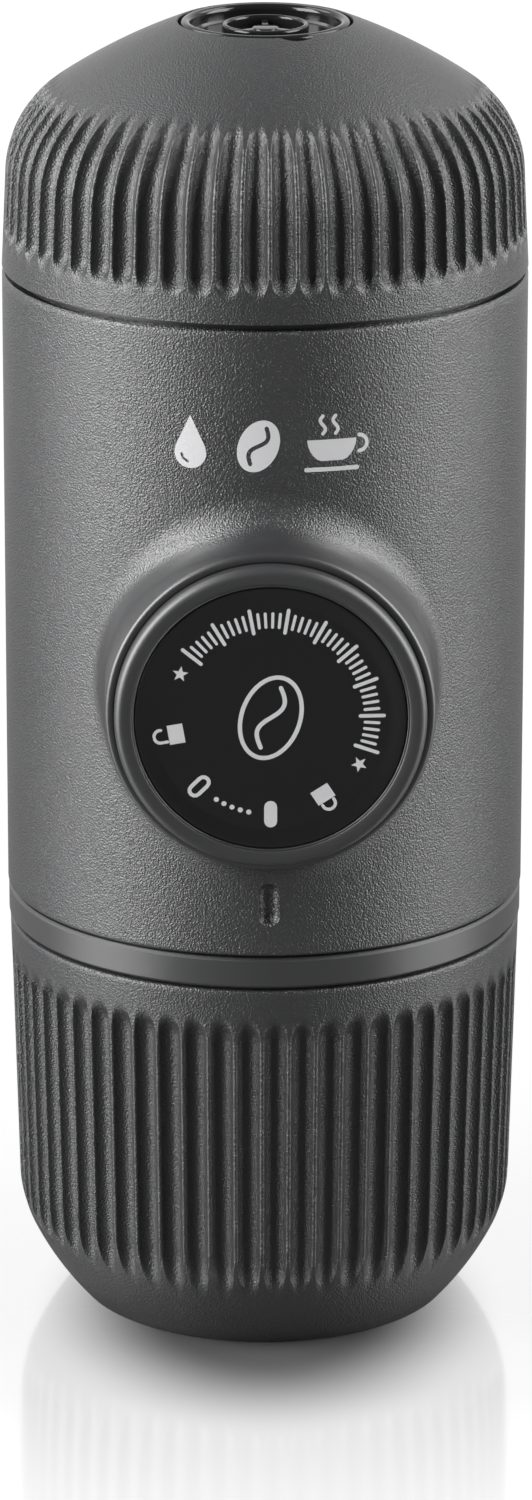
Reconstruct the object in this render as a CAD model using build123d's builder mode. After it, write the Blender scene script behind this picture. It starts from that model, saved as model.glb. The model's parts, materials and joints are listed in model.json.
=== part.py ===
from build123d import *
from math import acos, asin, atan, cos, degrees, radians, sin, sqrt, tan
import os

# Handheld manual espresso maker, standing upright on its water tank.
# Millimetres. +Z is up, the pump knob faces -Y, and the origin is the centre of the
# flat that the tank stands on. From the bottom up: water tank, smooth base ring, body
# with the pump lying across it, brew head, filter basket with the scoop stored inside,
# outlet head, and the ribbed cup that covers it all.

os.makedirs("parts", exist_ok=True)

# ---------------------------------------------------------------- driving dimensions

# Outside
body_r = 31.0  # body shell
tank_h = 48.0  # tank, up to its parting line
ring_h = 3.9  # smooth ring between the tank and the shell
shell_h = 75.7  # body shell, between its two parting lines
seam = 0.6  # height of the dark parting line between the shell and the cup
deck_seam = 0.35  # parting line between the ring and the shell
seam_depth = 1.0  # how far the parting lines are sunk
tank_seam = 0.35  # parting line between the tank and the ring
ring_set_in = 0.1  # ring's side, inside the shell's
ring_seat = 0.7  # how far the ring reaches in over the tank's lip
edge_chamfer = 0.35  # eased edge beside a parting line

# Walls and clearances
shell_wall = 2.0
moulded_wall = 2.0  # wall of the cup and the tank, under their flutes
fit_gap = 0.1  # radial gap of a running fit
slip_gap = 0.25  # radial gap between parts that lift off each other
seat_gap = 0.05  # gap where a soft or sprung piece meets its seat

# Flutes of the cup and the tank
flute_count = 60
flute_r = 1.3
flute_depth = 1.0
flute_fade = 0.06  # how much shallower the flutes get along their straight run
cup_flute_start = 3.7  # lower end of the cup's flutes, above the cup's edge
cup_flute_bend_r = 13.9
cup_flute_bend = 48.0  # degrees from vertical at which the flutes leave the shoulder
tank_flute_start = 3.7  # upper end of the tank's flutes, below the tank's edge
tank_flute_bend_r = 40.0

# Cup
cup_side_h = 11.4  # leaning side below the shoulder
cup_lean = 2.7  # degrees
cup_shoulder_r = 12.7
cup_shoulder_turn = 55.9  # degrees from vertical where the shoulder ends
cup_crown_r = 72.3
cup_floor_t = 1.4  # under the foot
collar_h = 4.0  # collar of the brew head that the cup sits on
collar_wall = 1.8

# Cup foot
foot_r = 10.0
foot_h = 3.6
foot_rim = 1.3
foot_dish = 1.8
foot_ring_r = 4.75
foot_ring_w = 0.7
foot_ring_drop = 0.4  # top of the ring, below the foot's rim
foot_hub_r = 1.6
foot_proud = 0.05  # above the cup's crown
notch_r = 2.6  # finger notch in the cup beside the foot
notch_reach = 0.8  # how far the notch goes beyond the foot's bore
notch_depth = 1.4
notch_angle = -70.0

# Tank
tank_set_in = 0.25  # tank's top edge, inside the shell's side
tank_lean_h = 33.2  # leaning side above the haunch
tank_haunch_in = 0.8  # how much the side leans in over that height
tank_haunch_r = 15.0
tank_haunch_turn = 26.0  # degrees from vertical where the haunch ends
tank_belly_r = 36.0

# Knob and its sleeve
knob_drop = 5.8  # knob's centre, below the middle of the shell
knob_r = 17.8
knob_reach = 9.0  # knob's front face, beyond the shell's side
knob_proud = 2.2  # how far the knob stands out of the boss
knob_edge_r = 0.9
knob_wall = 2.0
knob_front_wall = 4.0
knob_tail = 1.0  # how far the skirt reaches behind the body's axis
boss_r = 19.0
boss_blend_r = 5.5
boss_gap = 0.35  # visible gap round the knob
sleeve_wall = 2.4
sleeve_floor = 3.0
sleeve_room = 4.0  # room behind the skirt, in front of the sleeve's floor
stroke = 22.0
lock_turn = 45.0  # degrees from locked to unlocked
lug_h = 1.4
lug_len = 3.0
lug_angle = 12.0
lug_gap = 0.4
slot_side_gap = 1.5  # degrees beside a lug

# Dial plate
dial_r = 15.6
dial_t = 1.2
dial_set_back = 0.3  # below the knob's rim
dial_border = 1.6
dial_dish = 0.4
mark_w = 1.5
mark_len = 3.2
mark_ring_r = 11.6
mark_depth = 0.15
dot_r = 0.3
dot_count = 5
dot_step = 5.0  # degrees

# Index mark on the shell
index_rise = 6.6  # middle of the mark, above the shell's lower end
index_w = 2.3
index_h = 5.15
index_depth = 0.5

# Pump
cylinder_r = 7.0
cylinder_wall = 1.8
nose_spare = 2.5  # cylinder left in front of the piston at the end of its stroke
cylinder_flange_r = 12.0
cylinder_flange_t = 3.0
cylinder_screw_circle_r = 10.2
shoulder_w = 1.6
piston_h = 5.0
piston_clear = 1.5  # water left behind the piston when it is locked
piston_ring_r = 0.85
rod_r = 3.0
rod_flange_r = 5.0
rod_flange_t = 1.5
spring_wire_r = 0.8
spring_r = 12.3
spring_turns = 9

# Water manifold behind the pump
manifold_w = 9.0
manifold_t = 5.5
manifold_room = 1.5  # between the manifold and the shell
channel_r = 1.1
port_ring_r = 1.9
port_ring_wire = 0.55

# Tank deck, at the foot of the body
deck_t = 3.4
spigot_wall = 2.4
spigot_h = 7.0
tank_ring_wire = 0.9
valve_boss_r = 8.0
valve_boss_h = 8.6
valve_r = 3.2
valve_bore_r = 4.4
valve_stem_r = 0.9
valve_head_t = 1.7
valve_room = 5.4  # from the seat to the web that the spring bears on
valve_web = 1.0
seat_r = 6.0
seat_t = 2.0
orifice_r = 1.6
strainer_r = 7.0
strainer_t = 0.8
vent_x = 14.0
vent_r = 4.2
vent_t = 0.8
vent_stem_r = 1.0
vent_bead_r = 1.5
flow_hole_r = 0.55
stem_proud = 0.6  # valve stem, above its web
valve_spring_r = 2.0
valve_wire_r = 0.3
valve_turns = 4
strainer_hole_r = 0.45
strainer_rings = 4

# Pump block
plate_t = 1.5
pillar_r = 3.5
pillar_inset = 6.75  # a pillar's axis, inside the block's side
pillar_h = 6.0
rib_t = 2.0
rib_len = 24.0
rib_shift = 2.0  # ribs' middle, behind the body's axis

# Brew head
head_base_t = 4.5
collar_room = 1.35  # between the collar and the outlet head inside it
neck_drop = 2.6  # neck's top, below the shell's parting line
chamber_depth = 3.5
screen_set_in = 0.9  # screen's edge, inside the basket's side
screen_t = 0.6
screen_ledge = 1.4
screen_hole_r = 0.5
screen_rings = 4
gasket_t = 1.2
gasket_w = 2.9

# Basket, scoop and outlet head
basket_t = 0.4
basket_flange_t = 0.8
basket_hole_r = 0.5
basket_rings = 5
basket_edge_r = 1.0
scoop_gap = 0.5
scoop_depth = 13.0
scoop_wall = 1.2
outlet_wall = 2.35
outlet_roof = 2.3
outlet_rise = 4.25  # outlet head's foot, above the brew head's deck
outlet_grips = 24
outlet_grip_r = 1.0
outlet_shoulder = 4.4
spout_r = 5.4
spout_h = 3.2
spout_bore_r = 2.2
spout_cap_wall = 1.3
cap_room = 1.05  # between the spout cap and the cup's floor

# Screws
screw_r = 1.25
screw_head_r = 2.2
screw_head_t = 1.4
screw_slot_w = 0.6
screw_bite = 2.4  # how far a screw reaches into the part it holds
screw_gap = 0.05  # round a screw in its hole
knob_screw_head_r = 4.0
knob_screw_len = 8.0

# ---------------------------------------------------------------- heights and radii

shell_bottom = tank_h + ring_h
shell_top = shell_bottom + shell_h
knob_z = shell_bottom + shell_h / 2 - knob_drop
seam_r = body_r - seam_depth
shell_in_r = body_r - shell_wall
tank_top_r = body_r - tank_set_in

knob_face = body_r + knob_reach
boss_front = knob_face - knob_proud
sleeve_in_r = knob_r + fit_gap
sleeve_r = sleeve_in_r + sleeve_wall
boss_bore_r = knob_r + boss_gap

deck_bottom = shell_bottom - deck_seam / 2
deck_top = deck_bottom + deck_t
block_r = shell_in_r - slip_gap
pillar_circle_r = block_r - pillar_inset
plate_bottom = deck_top + pillar_h
top_plate_z = knob_z + sleeve_r + seat_gap
head_bottom = top_plate_z + plate_t
head_deck = head_bottom + head_base_t
neck_top = shell_top - neck_drop
chamber_floor = neck_top - chamber_depth

cup_bore_r = body_r - flute_depth - moulded_wall
collar_r = cup_bore_r - slip_gap
collar_in_r = collar_r - collar_wall
outlet_r = collar_in_r - collar_room
outlet_in_r = outlet_r - outlet_wall
neck_r = outlet_in_r - slip_gap
basket_r = neck_r - gasket_w
screen_r = basket_r - screen_set_in

cylinder_tail = shell_in_r - manifold_room - manifold_t  # behind the body's axis
piston_back = cylinder_tail - piston_clear
piston_front = piston_back - piston_h
cylinder_nose = stroke + nose_spare - piston_front  # in front of the body's axis
manifold_y = cylinder_tail + manifold_t / 2  # channels run up the manifold's middle


# ---------------------------------------------------------------- shared shapes


def bend(start, turn_from, turn_to, radius, up):
    """Middle and end of an arc that leans inwards from a wall of revolution."""
    points = []
    for turn in ((turn_from + turn_to) / 2, turn_to):
        run = radius * (cos(radians(turn_from)) - cos(radians(turn)))
        rise = radius * (sin(radians(turn)) - sin(radians(turn_from)))
        points.append((start[0] - run, start[1] + up * rise))
    return points


def inward(point, turn, distance, up):
    """The point at a distance inside a wall, square to it."""
    return (
        point[0] - distance * cos(radians(turn)),
        point[1] - up * distance * sin(radians(turn)),
    )


def ring_sector(inner, outer, start, size):
    """Sketch of a piece of a ring, from a start angle through a size in degrees."""
    with BuildSketch() as sector:
        with BuildLine():
            outside = CenterArc((0, 0), outer, start, size)
            inside = CenterArc((0, 0), inner, start, size)
            Line(outside @ 0, inside @ 0)
            Line(outside @ 1, inside @ 1)
        make_face()
    return sector.sketch


def ring_of_wire(ring_r, wire_r, height):
    """O-ring about the body's axis."""
    with BuildPart(Plane.XY.offset(height)) as ring:
        Torus(ring_r, wire_r)
    return ring.part


def coil_spring(plane, coil_r, wire_r, length, turns):
    """Compression spring that stands on a plane."""
    with BuildPart() as spring:
        with BuildLine(Plane.XY.offset(wire_r)):
            path = Helix(pitch=(length - 2 * wire_r) / turns, height=length - 2 * wire_r, radius=coil_r)
        with BuildSketch(Plane(origin=path @ 0, z_dir=path % 0)):
            Circle(wire_r)
        sweep(path=path, is_frenet=True)
    return spring.part.moved(plane.location)


def screw_set(planes, length, head_r=screw_head_r):
    """Pan-head screws, each with its head standing on one of the planes."""
    with BuildPart() as screws:
        for plane in planes:
            with BuildSketch(plane):
                Circle(head_r)
            extrude(amount=screw_head_t)
            with BuildSketch(plane):
                Circle(screw_r)
            extrude(amount=-length)
            with BuildSketch(plane.offset(screw_head_t)):
                Rectangle(2 * head_r, screw_slot_w)
            extrude(amount=-screw_head_t / 2, mode=Mode.SUBTRACT)
    return screws.part


def finish(node, name):
    """Label a sub-part and write its STEP file."""
    node.label = name
    export_step(node, f"parts/{name}.step")


# The pump lies on this plane's normal: x to the right, y up, z out of the front.
knob_plane = Plane(origin=(0, 0, knob_z), x_dir=(1, 0, 0), z_dir=(0, -1, 0))

# ---------------------------------------------------------------- water tank

tank_lean = degrees(atan(tank_haunch_in / tank_lean_h))
tank_rim = (tank_top_r, tank_h - tank_seam)
tank_side = (tank_top_r - tank_haunch_in, tank_h - tank_lean_h)
haunch_mid, haunch_end = bend(tank_side, tank_lean, tank_haunch_turn, tank_haunch_r, -1)
base_turn = degrees(asin(sin(radians(tank_haunch_turn)) + haunch_end[1] / tank_belly_r))
belly_mid, belly_end = bend(haunch_end, tank_haunch_turn, base_turn, tank_belly_r, -1)

tank_skin = moulded_wall + flute_depth
tank_bore_r = tank_top_r - tank_skin
tank_lip_r = tank_bore_r + tank_skin / 2
inner_side = (tank_side[0] - tank_skin, tank_side[1])
inner_haunch = inward(haunch_end, tank_haunch_turn, tank_skin, -1)
inner_belly = inward(belly_mid, (tank_haunch_turn + base_turn) / 2, tank_skin, -1)
inner_base = inward(belly_end, base_turn, tank_skin, -1)

flute_out = flute_r - flute_depth  # flute's centre line, outside the wall

flute_drop = tank_flute_start + flute_r
flute_head = inward(
    (tank_top_r - flute_drop * tan(radians(tank_lean)), tank_h - flute_drop),
    tank_lean,
    -flute_out,
    -1,
)
flute_turn = inward(tank_side, tank_lean, -flute_out - flute_fade, -1)
flute_lean = degrees(atan((flute_head[0] - flute_turn[0]) / (flute_head[1] - flute_turn[1])))
fade_turn = flute_lean + degrees(asin(tank_side[1] / tank_flute_bend_r))
fade_mid, fade_end = bend(flute_turn, flute_lean, fade_turn, tank_flute_bend_r, -1)

with BuildPart() as tank_flute:
    with BuildLine(Plane.XZ) as tank_flute_path:
        Line(flute_head, flute_turn)
        ThreePointArc(flute_turn, fade_mid, fade_end)
    with BuildSketch(Plane(origin=tank_flute_path.line @ 0, z_dir=tank_flute_path.line % 0)):
        Circle(flute_r)
    sweep(path=tank_flute_path.line)
    with Locations(tank_flute_path.line @ 0):
        Sphere(flute_r)

with BuildPart() as water_tank:
    with BuildSketch(Plane.XZ):
        with BuildLine():
            Line((0, 0), belly_end)
            ThreePointArc(belly_end, belly_mid, haunch_end)
            ThreePointArc(haunch_end, haunch_mid, tank_side)
            Line(tank_side, tank_rim)
            Line(tank_rim, (tank_lip_r, tank_rim[1]))
            Line((tank_lip_r, tank_rim[1]), (tank_lip_r, tank_h))
            Line((tank_lip_r, tank_h), (tank_bore_r, tank_h))
            Line((tank_bore_r, tank_h), inner_side)
            Line(inner_side, inner_haunch)
            ThreePointArc(inner_haunch, inner_belly, inner_base)
            Line(inner_base, (0, inner_base[1]))
            Line((0, inner_base[1]), (0, 0))
        make_face()
    revolve(axis=Axis.Z)
    with PolarLocations(0, flute_count, start_angle=180 / flute_count):
        add(tank_flute.part, mode=Mode.SUBTRACT)
finish(water_tank.part, "water_tank")

# ---------------------------------------------------------------- base ring and tank deck

ring_in_r = tank_lip_r - ring_seat
boss_bottom = deck_bottom - valve_boss_h
channel_z = deck_bottom + deck_t / 2
spigot_r = tank_bore_r - 2 * slip_gap
spigot_in_r = spigot_r - spigot_wall
tank_ring_z = tank_h - spigot_h / 2
tank_ring_r = spigot_r + slip_gap - tank_ring_wire
inlet_seat_z = boss_bottom + seat_t
port_spot = (0, manifold_y)

with BuildPart() as base_ring:
    with BuildSketch(Plane.XY.offset(tank_h)):
        Circle(body_r - ring_set_in)
        Circle(ring_in_r, mode=Mode.SUBTRACT)
    extrude(amount=deck_bottom - tank_h)
    chamfer(base_ring.edges().filter_by(GeomType.CIRCLE).sort_by(SortBy.RADIUS)[-2:], edge_chamfer)
finish(base_ring.part, "base_ring")

with BuildPart() as tank_deck:
    with BuildSketch(Plane.XY.offset(deck_bottom)):
        Circle(block_r)
    extrude(amount=deck_t)
    with BuildSketch(Plane.XY.offset(deck_bottom)):
        Circle(seam_r)
    extrude(amount=deck_seam)
    with BuildSketch(Plane.XY.offset(tank_h)):
        Circle(ring_in_r - fit_gap)
        Circle(spigot_in_r, mode=Mode.SUBTRACT)
    extrude(amount=deck_bottom - tank_h)
    with BuildSketch(Plane.XY.offset(tank_h - spigot_h)):
        Circle(spigot_r)
        Circle(spigot_in_r, mode=Mode.SUBTRACT)
    extrude(amount=spigot_h)
    with BuildSketch(Plane.XY.offset(boss_bottom)):
        Circle(valve_boss_r)
    extrude(amount=valve_boss_h)
    # groove for the tank's O-ring
    with BuildSketch(Plane.XY.offset(tank_ring_z - tank_ring_wire - seat_gap)):
        Circle(body_r)
        Circle(tank_ring_r - tank_ring_wire - seat_gap, mode=Mode.SUBTRACT)
    extrude(amount=2 * (tank_ring_wire + seat_gap), mode=Mode.SUBTRACT)
    # valve seat, valve bore and the chamber above the web
    with BuildSketch(Plane.XY.offset(boss_bottom)):
        Circle(seat_r + fit_gap)
    extrude(amount=seat_t, mode=Mode.SUBTRACT)
    with BuildSketch(Plane.XY.offset(inlet_seat_z)):
        Circle(valve_bore_r)
    extrude(amount=valve_room, mode=Mode.SUBTRACT)
    with BuildSketch(Plane.XY.offset(inlet_seat_z + valve_room)):
        Circle(valve_stem_r + slip_gap)
        with PolarLocations(valve_bore_r - 2 * flow_hole_r, 4):
            Circle(flow_hole_r)
    extrude(amount=valve_web, mode=Mode.SUBTRACT)
    with BuildSketch(Plane.XY.offset(inlet_seat_z + valve_room + valve_web)):
        Circle(valve_bore_r)
    extrude(amount=channel_z + channel_r - inlet_seat_z - valve_room - valve_web, mode=Mode.SUBTRACT)
    # channel to the manifold's foot
    with BuildSketch(Plane(origin=(0, 0, channel_z), z_dir=(0, 1, 0))):
        Circle(channel_r)
    extrude(amount=manifold_y, mode=Mode.SUBTRACT)
    with BuildSketch(Plane.XY.offset(channel_z)):
        with Locations(port_spot):
            Circle(channel_r)
    extrude(amount=deck_t / 2, mode=Mode.SUBTRACT)
    # blind holes for the screws, and the vent valve's holes
    with BuildSketch(Plane.XY.offset(deck_top)):
        with PolarLocations(pillar_circle_r, 4, start_angle=45):
            Circle(screw_r + screw_gap)
    extrude(amount=-screw_bite - screw_gap, mode=Mode.SUBTRACT)
    with BuildSketch(Plane.XY.offset(deck_bottom)):
        with Locations((vent_x, 0)):
            Circle(vent_stem_r + screw_gap)
            with PolarLocations(vent_r - 2 * flow_hole_r, 4, start_angle=45):
                Circle(flow_hole_r)
    extrude(amount=deck_t, mode=Mode.SUBTRACT)
finish(tank_deck.part, "tank_deck")

finish(ring_of_wire(tank_ring_r, tank_ring_wire, tank_ring_z), "tank_o_ring")

with BuildPart() as vent_valve:
    with BuildSketch(Plane.XY.offset(deck_bottom)):
        with Locations((vent_x, 0)):
            Circle(vent_r)
    extrude(amount=-vent_t)
    with BuildSketch(Plane.XY.offset(deck_bottom)):
        with Locations((vent_x, 0)):
            Circle(vent_stem_r)
    extrude(amount=deck_t)
    with BuildSketch(Plane.XY.offset(deck_top)):
        with Locations((vent_x, 0)):
            Circle(vent_bead_r)
    extrude(amount=vent_bead_r, taper=15)
finish(vent_valve.part, "vent_valve")

# ---------------------------------------------------------------- inlet and outlet valves


def poppet(seat_z):
    """Valve that closes down onto its seat, with a stem that its web guides."""
    with BuildPart(Plane.XY.offset(seat_z + seat_gap)) as valve:
        Cylinder(valve_r, valve_head_t, align=(Align.CENTER, Align.CENTER, Align.MIN))
        chamfer(valve.edges().filter_by(GeomType.CIRCLE).sort_by(Axis.Z)[-1], valve_head_t / 2)
        Cylinder(
            valve_stem_r,
            valve_room + valve_web + stem_proud,
            align=(Align.CENTER, Align.CENTER, Align.MIN),
        )
    return valve.part


def valve_spring(seat_z):
    """Spring between a poppet's head and the web above it."""
    foot = seat_z + valve_head_t + 2 * seat_gap
    length = seat_z + valve_room - foot - seat_gap
    return coil_spring(Plane.XY.offset(foot), valve_spring_r, valve_wire_r, length, valve_turns)


def perforated_disc(radius, thickness, height, hole_r, rings):
    """Disc with a centre hole and rings of holes, six more in each ring."""
    pitch = radius / (rings + 0.8)
    with BuildPart() as disc:
        with BuildSketch(Plane.XY.offset(height)):
            Circle(radius)
            Circle(hole_r, mode=Mode.SUBTRACT)
            for ring in range(1, rings + 1):
                with PolarLocations(ring * pitch, 6 * ring):
                    Circle(hole_r, mode=Mode.SUBTRACT)
        extrude(amount=thickness)
    return disc.part


with BuildPart() as inlet_valve_seat:
    with BuildSketch(Plane.XY.offset(boss_bottom)):
        Circle(seat_r)
        Circle(orifice_r, mode=Mode.SUBTRACT)
    extrude(amount=seat_t)
finish(inlet_valve_seat.part, "inlet_valve_seat")

finish(poppet(inlet_seat_z), "inlet_valve")
finish(valve_spring(inlet_seat_z), "inlet_valve_spring")
finish(
    perforated_disc(strainer_r, strainer_t, boss_bottom - strainer_t, strainer_hole_r, strainer_rings),
    "inlet_strainer",
)

cage_bottom = chamber_floor - valve_web
outlet_seat_z = cage_bottom - valve_room
finish(poppet(outlet_seat_z), "outlet_valve")
finish(valve_spring(outlet_seat_z), "outlet_valve_spring")

with BuildPart() as outlet_valve_cage:
    with BuildSketch(Plane.XY.offset(cage_bottom)):
        Circle(valve_bore_r - seat_gap)
        Circle(valve_stem_r + slip_gap, mode=Mode.SUBTRACT)
        with PolarLocations(valve_bore_r - 2 * flow_hole_r, 4):
            Circle(flow_hole_r, mode=Mode.SUBTRACT)
    extrude(amount=valve_web)
finish(outlet_valve_cage.part, "outlet_valve_cage")

# ---------------------------------------------------------------- pump block

floor_front = knob_tail + sleeve_room  # behind the body's axis
floor_back = floor_front + sleeve_floor
cylinder_out_r = cylinder_r + cylinder_wall
lug_out_r = knob_r + lug_h
slot_start = 90 - lug_angle / 2 - slot_side_gap
slot_sweep = lug_angle + lock_turn + 2 * slot_side_gap
slot_len = lug_len + stroke + 2 * lug_gap
notch_w = manifold_w + 2 * fit_gap

with BuildPart() as pump_block:
    for height in (plate_bottom, top_plate_z):
        with BuildSketch(Plane.XY.offset(height)):
            Circle(block_r)
            with Locations((0, body_r)):
                Rectangle(notch_w, 2 * (body_r - cylinder_tail + fit_gap), mode=Mode.SUBTRACT)
        extrude(amount=plate_t)
    with BuildSketch(Plane.XY.offset(deck_top)):
        with PolarLocations(pillar_circle_r, 4, start_angle=45):
            Circle(pillar_r)
    extrude(amount=pillar_h)
    # ribs from plate to plate, along both sides of the sleeve
    with BuildSketch(Plane.XY.offset(plate_bottom)):
        with Locations((sleeve_r - rib_t / 2, rib_shift), (-sleeve_r + rib_t / 2, rib_shift)):
            Rectangle(rib_t, rib_len)
    extrude(amount=top_plate_z - plate_bottom)
    # sleeve with its floor, and the cylinder's hole
    with BuildSketch(knob_plane.offset(-floor_back)):
        Circle(sleeve_r)
    extrude(amount=floor_back + body_r)
    with BuildSketch(knob_plane.offset(-floor_front)):
        Circle(sleeve_in_r)
    extrude(amount=floor_front + body_r, mode=Mode.SUBTRACT)
    with BuildSketch(knob_plane.offset(-floor_back)):
        Circle(cylinder_out_r + fit_gap)
    extrude(amount=sleeve_floor, mode=Mode.SUBTRACT)
    # two slots in which the knob's lugs slide and turn
    with BuildSketch(knob_plane.offset(-knob_tail - lug_gap)):
        add(ring_sector(sleeve_in_r - slip_gap, lug_out_r + slip_gap, slot_start, slot_sweep))
        add(ring_sector(sleeve_in_r - slip_gap, lug_out_r + slip_gap, slot_start + 180, slot_sweep))
    extrude(amount=slot_len, mode=Mode.SUBTRACT)
    # screw holes
    with BuildSketch(Plane.XY.offset(deck_top)):
        with PolarLocations(pillar_circle_r, 4, start_angle=45):
            Circle(screw_r + screw_gap)
    extrude(amount=head_bottom - deck_top, mode=Mode.SUBTRACT)
    with BuildSketch(Plane.XY.offset(deck_top)):
        Circle(block_r)
    extrude(amount=head_bottom - deck_top, mode=Mode.INTERSECT)
finish(pump_block.part, "pump_block")

corner_angles = [45, 135, 225, 315]


def pillar_planes(height, up):
    """Planes at the four pillars, facing up or down."""
    spots = [(pillar_circle_r * cos(radians(a)), pillar_circle_r * sin(radians(a))) for a in corner_angles]
    return [Plane(origin=(x, y, height), z_dir=(0, 0, up)) for x, y in spots]


finish(screw_set(pillar_planes(plate_bottom + plate_t, 1), plate_t + pillar_h + screw_bite), "deck_screws")
finish(screw_set(pillar_planes(top_plate_z, -1), plate_t + screw_bite), "head_screws")

# ---------------------------------------------------------------- cylinder and manifold

with BuildPart() as pump_cylinder:
    with BuildSketch(knob_plane.offset(-cylinder_tail)):
        Circle(cylinder_out_r)
    extrude(amount=cylinder_tail + cylinder_nose)
    with BuildSketch(knob_plane.offset(-cylinder_tail)):
        Circle(cylinder_flange_r)
    extrude(amount=cylinder_flange_t)
    with BuildSketch(knob_plane.offset(-floor_back)):
        Circle(cylinder_out_r + shoulder_w)
    extrude(amount=-shoulder_w)
    with BuildSketch(knob_plane.offset(-cylinder_tail)):
        Circle(cylinder_r)
    extrude(amount=cylinder_tail + cylinder_nose, mode=Mode.SUBTRACT)
    with BuildSketch(knob_plane.offset(-cylinder_tail)):
        with PolarLocations(cylinder_screw_circle_r, 4, start_angle=45):
            Circle(screw_r + screw_gap)
    extrude(amount=cylinder_flange_t, mode=Mode.SUBTRACT)
finish(pump_cylinder.part, "pump_cylinder")

manifold_h = head_bottom - deck_top
port_drop = cylinder_r - 2 * channel_r  # ports sit above and below the pump's axis
port_recess_r = port_ring_r + port_ring_wire + seat_gap

with BuildPart() as water_manifold:
    with BuildSketch(Plane.XY.offset(deck_top)):
        with Locations((0, manifold_y)):
            Rectangle(manifold_w, manifold_t)
    extrude(amount=manifold_h)
    with BuildSketch(knob_plane.offset(-cylinder_tail)):
        Circle(cylinder_flange_r)
    extrude(amount=-cylinder_flange_t)
    with BuildSketch(knob_plane.offset(-cylinder_tail)):
        with PolarLocations(cylinder_screw_circle_r, 4, start_angle=45):
            Circle(screw_r + screw_gap)
    extrude(amount=-cylinder_flange_t, mode=Mode.SUBTRACT)
    # inlet channel from the foot, outlet channel from the head, and their two ports
    with BuildSketch(Plane.XY.offset(deck_top)):
        with Locations(port_spot):
            Circle(channel_r)
    extrude(amount=knob_z - port_drop - deck_top, mode=Mode.SUBTRACT)
    with BuildSketch(Plane.XY.offset(head_bottom)):
        with Locations(port_spot):
            Circle(channel_r)
    extrude(amount=knob_z + port_drop - head_bottom, mode=Mode.SUBTRACT)
    with BuildSketch(knob_plane.offset(-cylinder_tail)):
        with Locations((0, port_drop), (0, -port_drop)):
            Circle(channel_r)
    extrude(amount=-manifold_t / 2, mode=Mode.SUBTRACT)
    for height, way in ((deck_top, 1), (head_bottom, -1)):
        with BuildSketch(Plane.XY.offset(height)):
            with Locations(port_spot):
                Circle(port_recess_r)
        extrude(amount=way * 2 * port_ring_wire, mode=Mode.SUBTRACT)
finish(water_manifold.part, "water_manifold")

with BuildPart() as port_o_rings:
    with Locations(
        (0, manifold_y, deck_top + port_ring_wire),
        (0, manifold_y, head_bottom - port_ring_wire),
    ):
        Torus(port_ring_r, port_ring_wire)
finish(port_o_rings.part, "port_o_rings")

cylinder_screw_planes = [
    Plane(
        origin=(
            cylinder_screw_circle_r * cos(radians(a)),
            cylinder_tail + cylinder_flange_t,
            knob_z + cylinder_screw_circle_r * sin(radians(a)),
        ),
        z_dir=(0, 1, 0),
    )
    for a in corner_angles
]
finish(screw_set(cylinder_screw_planes, cylinder_flange_t + screw_bite), "cylinder_screws")

# ---------------------------------------------------------------- piston

dial_back = knob_face - dial_set_back - dial_t
wall_back = dial_back - knob_front_wall
bearing_front = dial_back - screw_head_t - 2 * slip_gap
rod_tip = bearing_front + seat_gap
rod_socket = piston_h - piston_ring_r

with BuildPart() as piston_rod:
    with BuildSketch(knob_plane.offset(-piston_front - rod_socket)):
        Circle(rod_r)
    extrude(amount=rod_tip + piston_front + rod_socket)
    with BuildSketch(knob_plane.offset(wall_back - seat_gap)):
        Circle(rod_flange_r)
    extrude(amount=-rod_flange_t)
    with BuildSketch(knob_plane.offset(rod_tip)):
        Circle(screw_r + screw_gap)
    extrude(amount=-knob_screw_len - 1, mode=Mode.SUBTRACT)
finish(piston_rod.part, "piston_rod")

piston_ring_mid = piston_back - piston_h / 2

with BuildPart() as piston_head:
    with BuildSketch(knob_plane.offset(-piston_back)):
        Circle(cylinder_r - fit_gap)
    extrude(amount=piston_h)
    with BuildSketch(knob_plane.offset(-piston_front)):
        Circle(rod_r + screw_gap)
    extrude(amount=-rod_socket, mode=Mode.SUBTRACT)
    with BuildSketch(knob_plane.offset(-piston_ring_mid - piston_ring_r - seat_gap)):
        Circle(cylinder_r)
        Circle(cylinder_r - fit_gap - 2 * piston_ring_r - seat_gap, mode=Mode.SUBTRACT)
    extrude(amount=2 * (piston_ring_r + seat_gap), mode=Mode.SUBTRACT)
finish(piston_head.part, "piston_head")

with BuildPart(knob_plane.offset(-piston_ring_mid)) as piston_o_ring:
    Torus(cylinder_r - fit_gap - piston_ring_r, piston_ring_r)
finish(piston_o_ring.part, "piston_o_ring")

finish(screw_set([knob_plane.offset(rod_tip)], knob_screw_len, knob_screw_head_r), "knob_screw")

spring_seat = knob_plane.offset(seat_gap - floor_front)
spring_len = floor_front + wall_back - 2 * seat_gap
finish(coil_spring(spring_seat, spring_r, spring_wire_r, spring_len, spring_turns), "return_spring")

# ---------------------------------------------------------------- knob and dial plate

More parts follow.
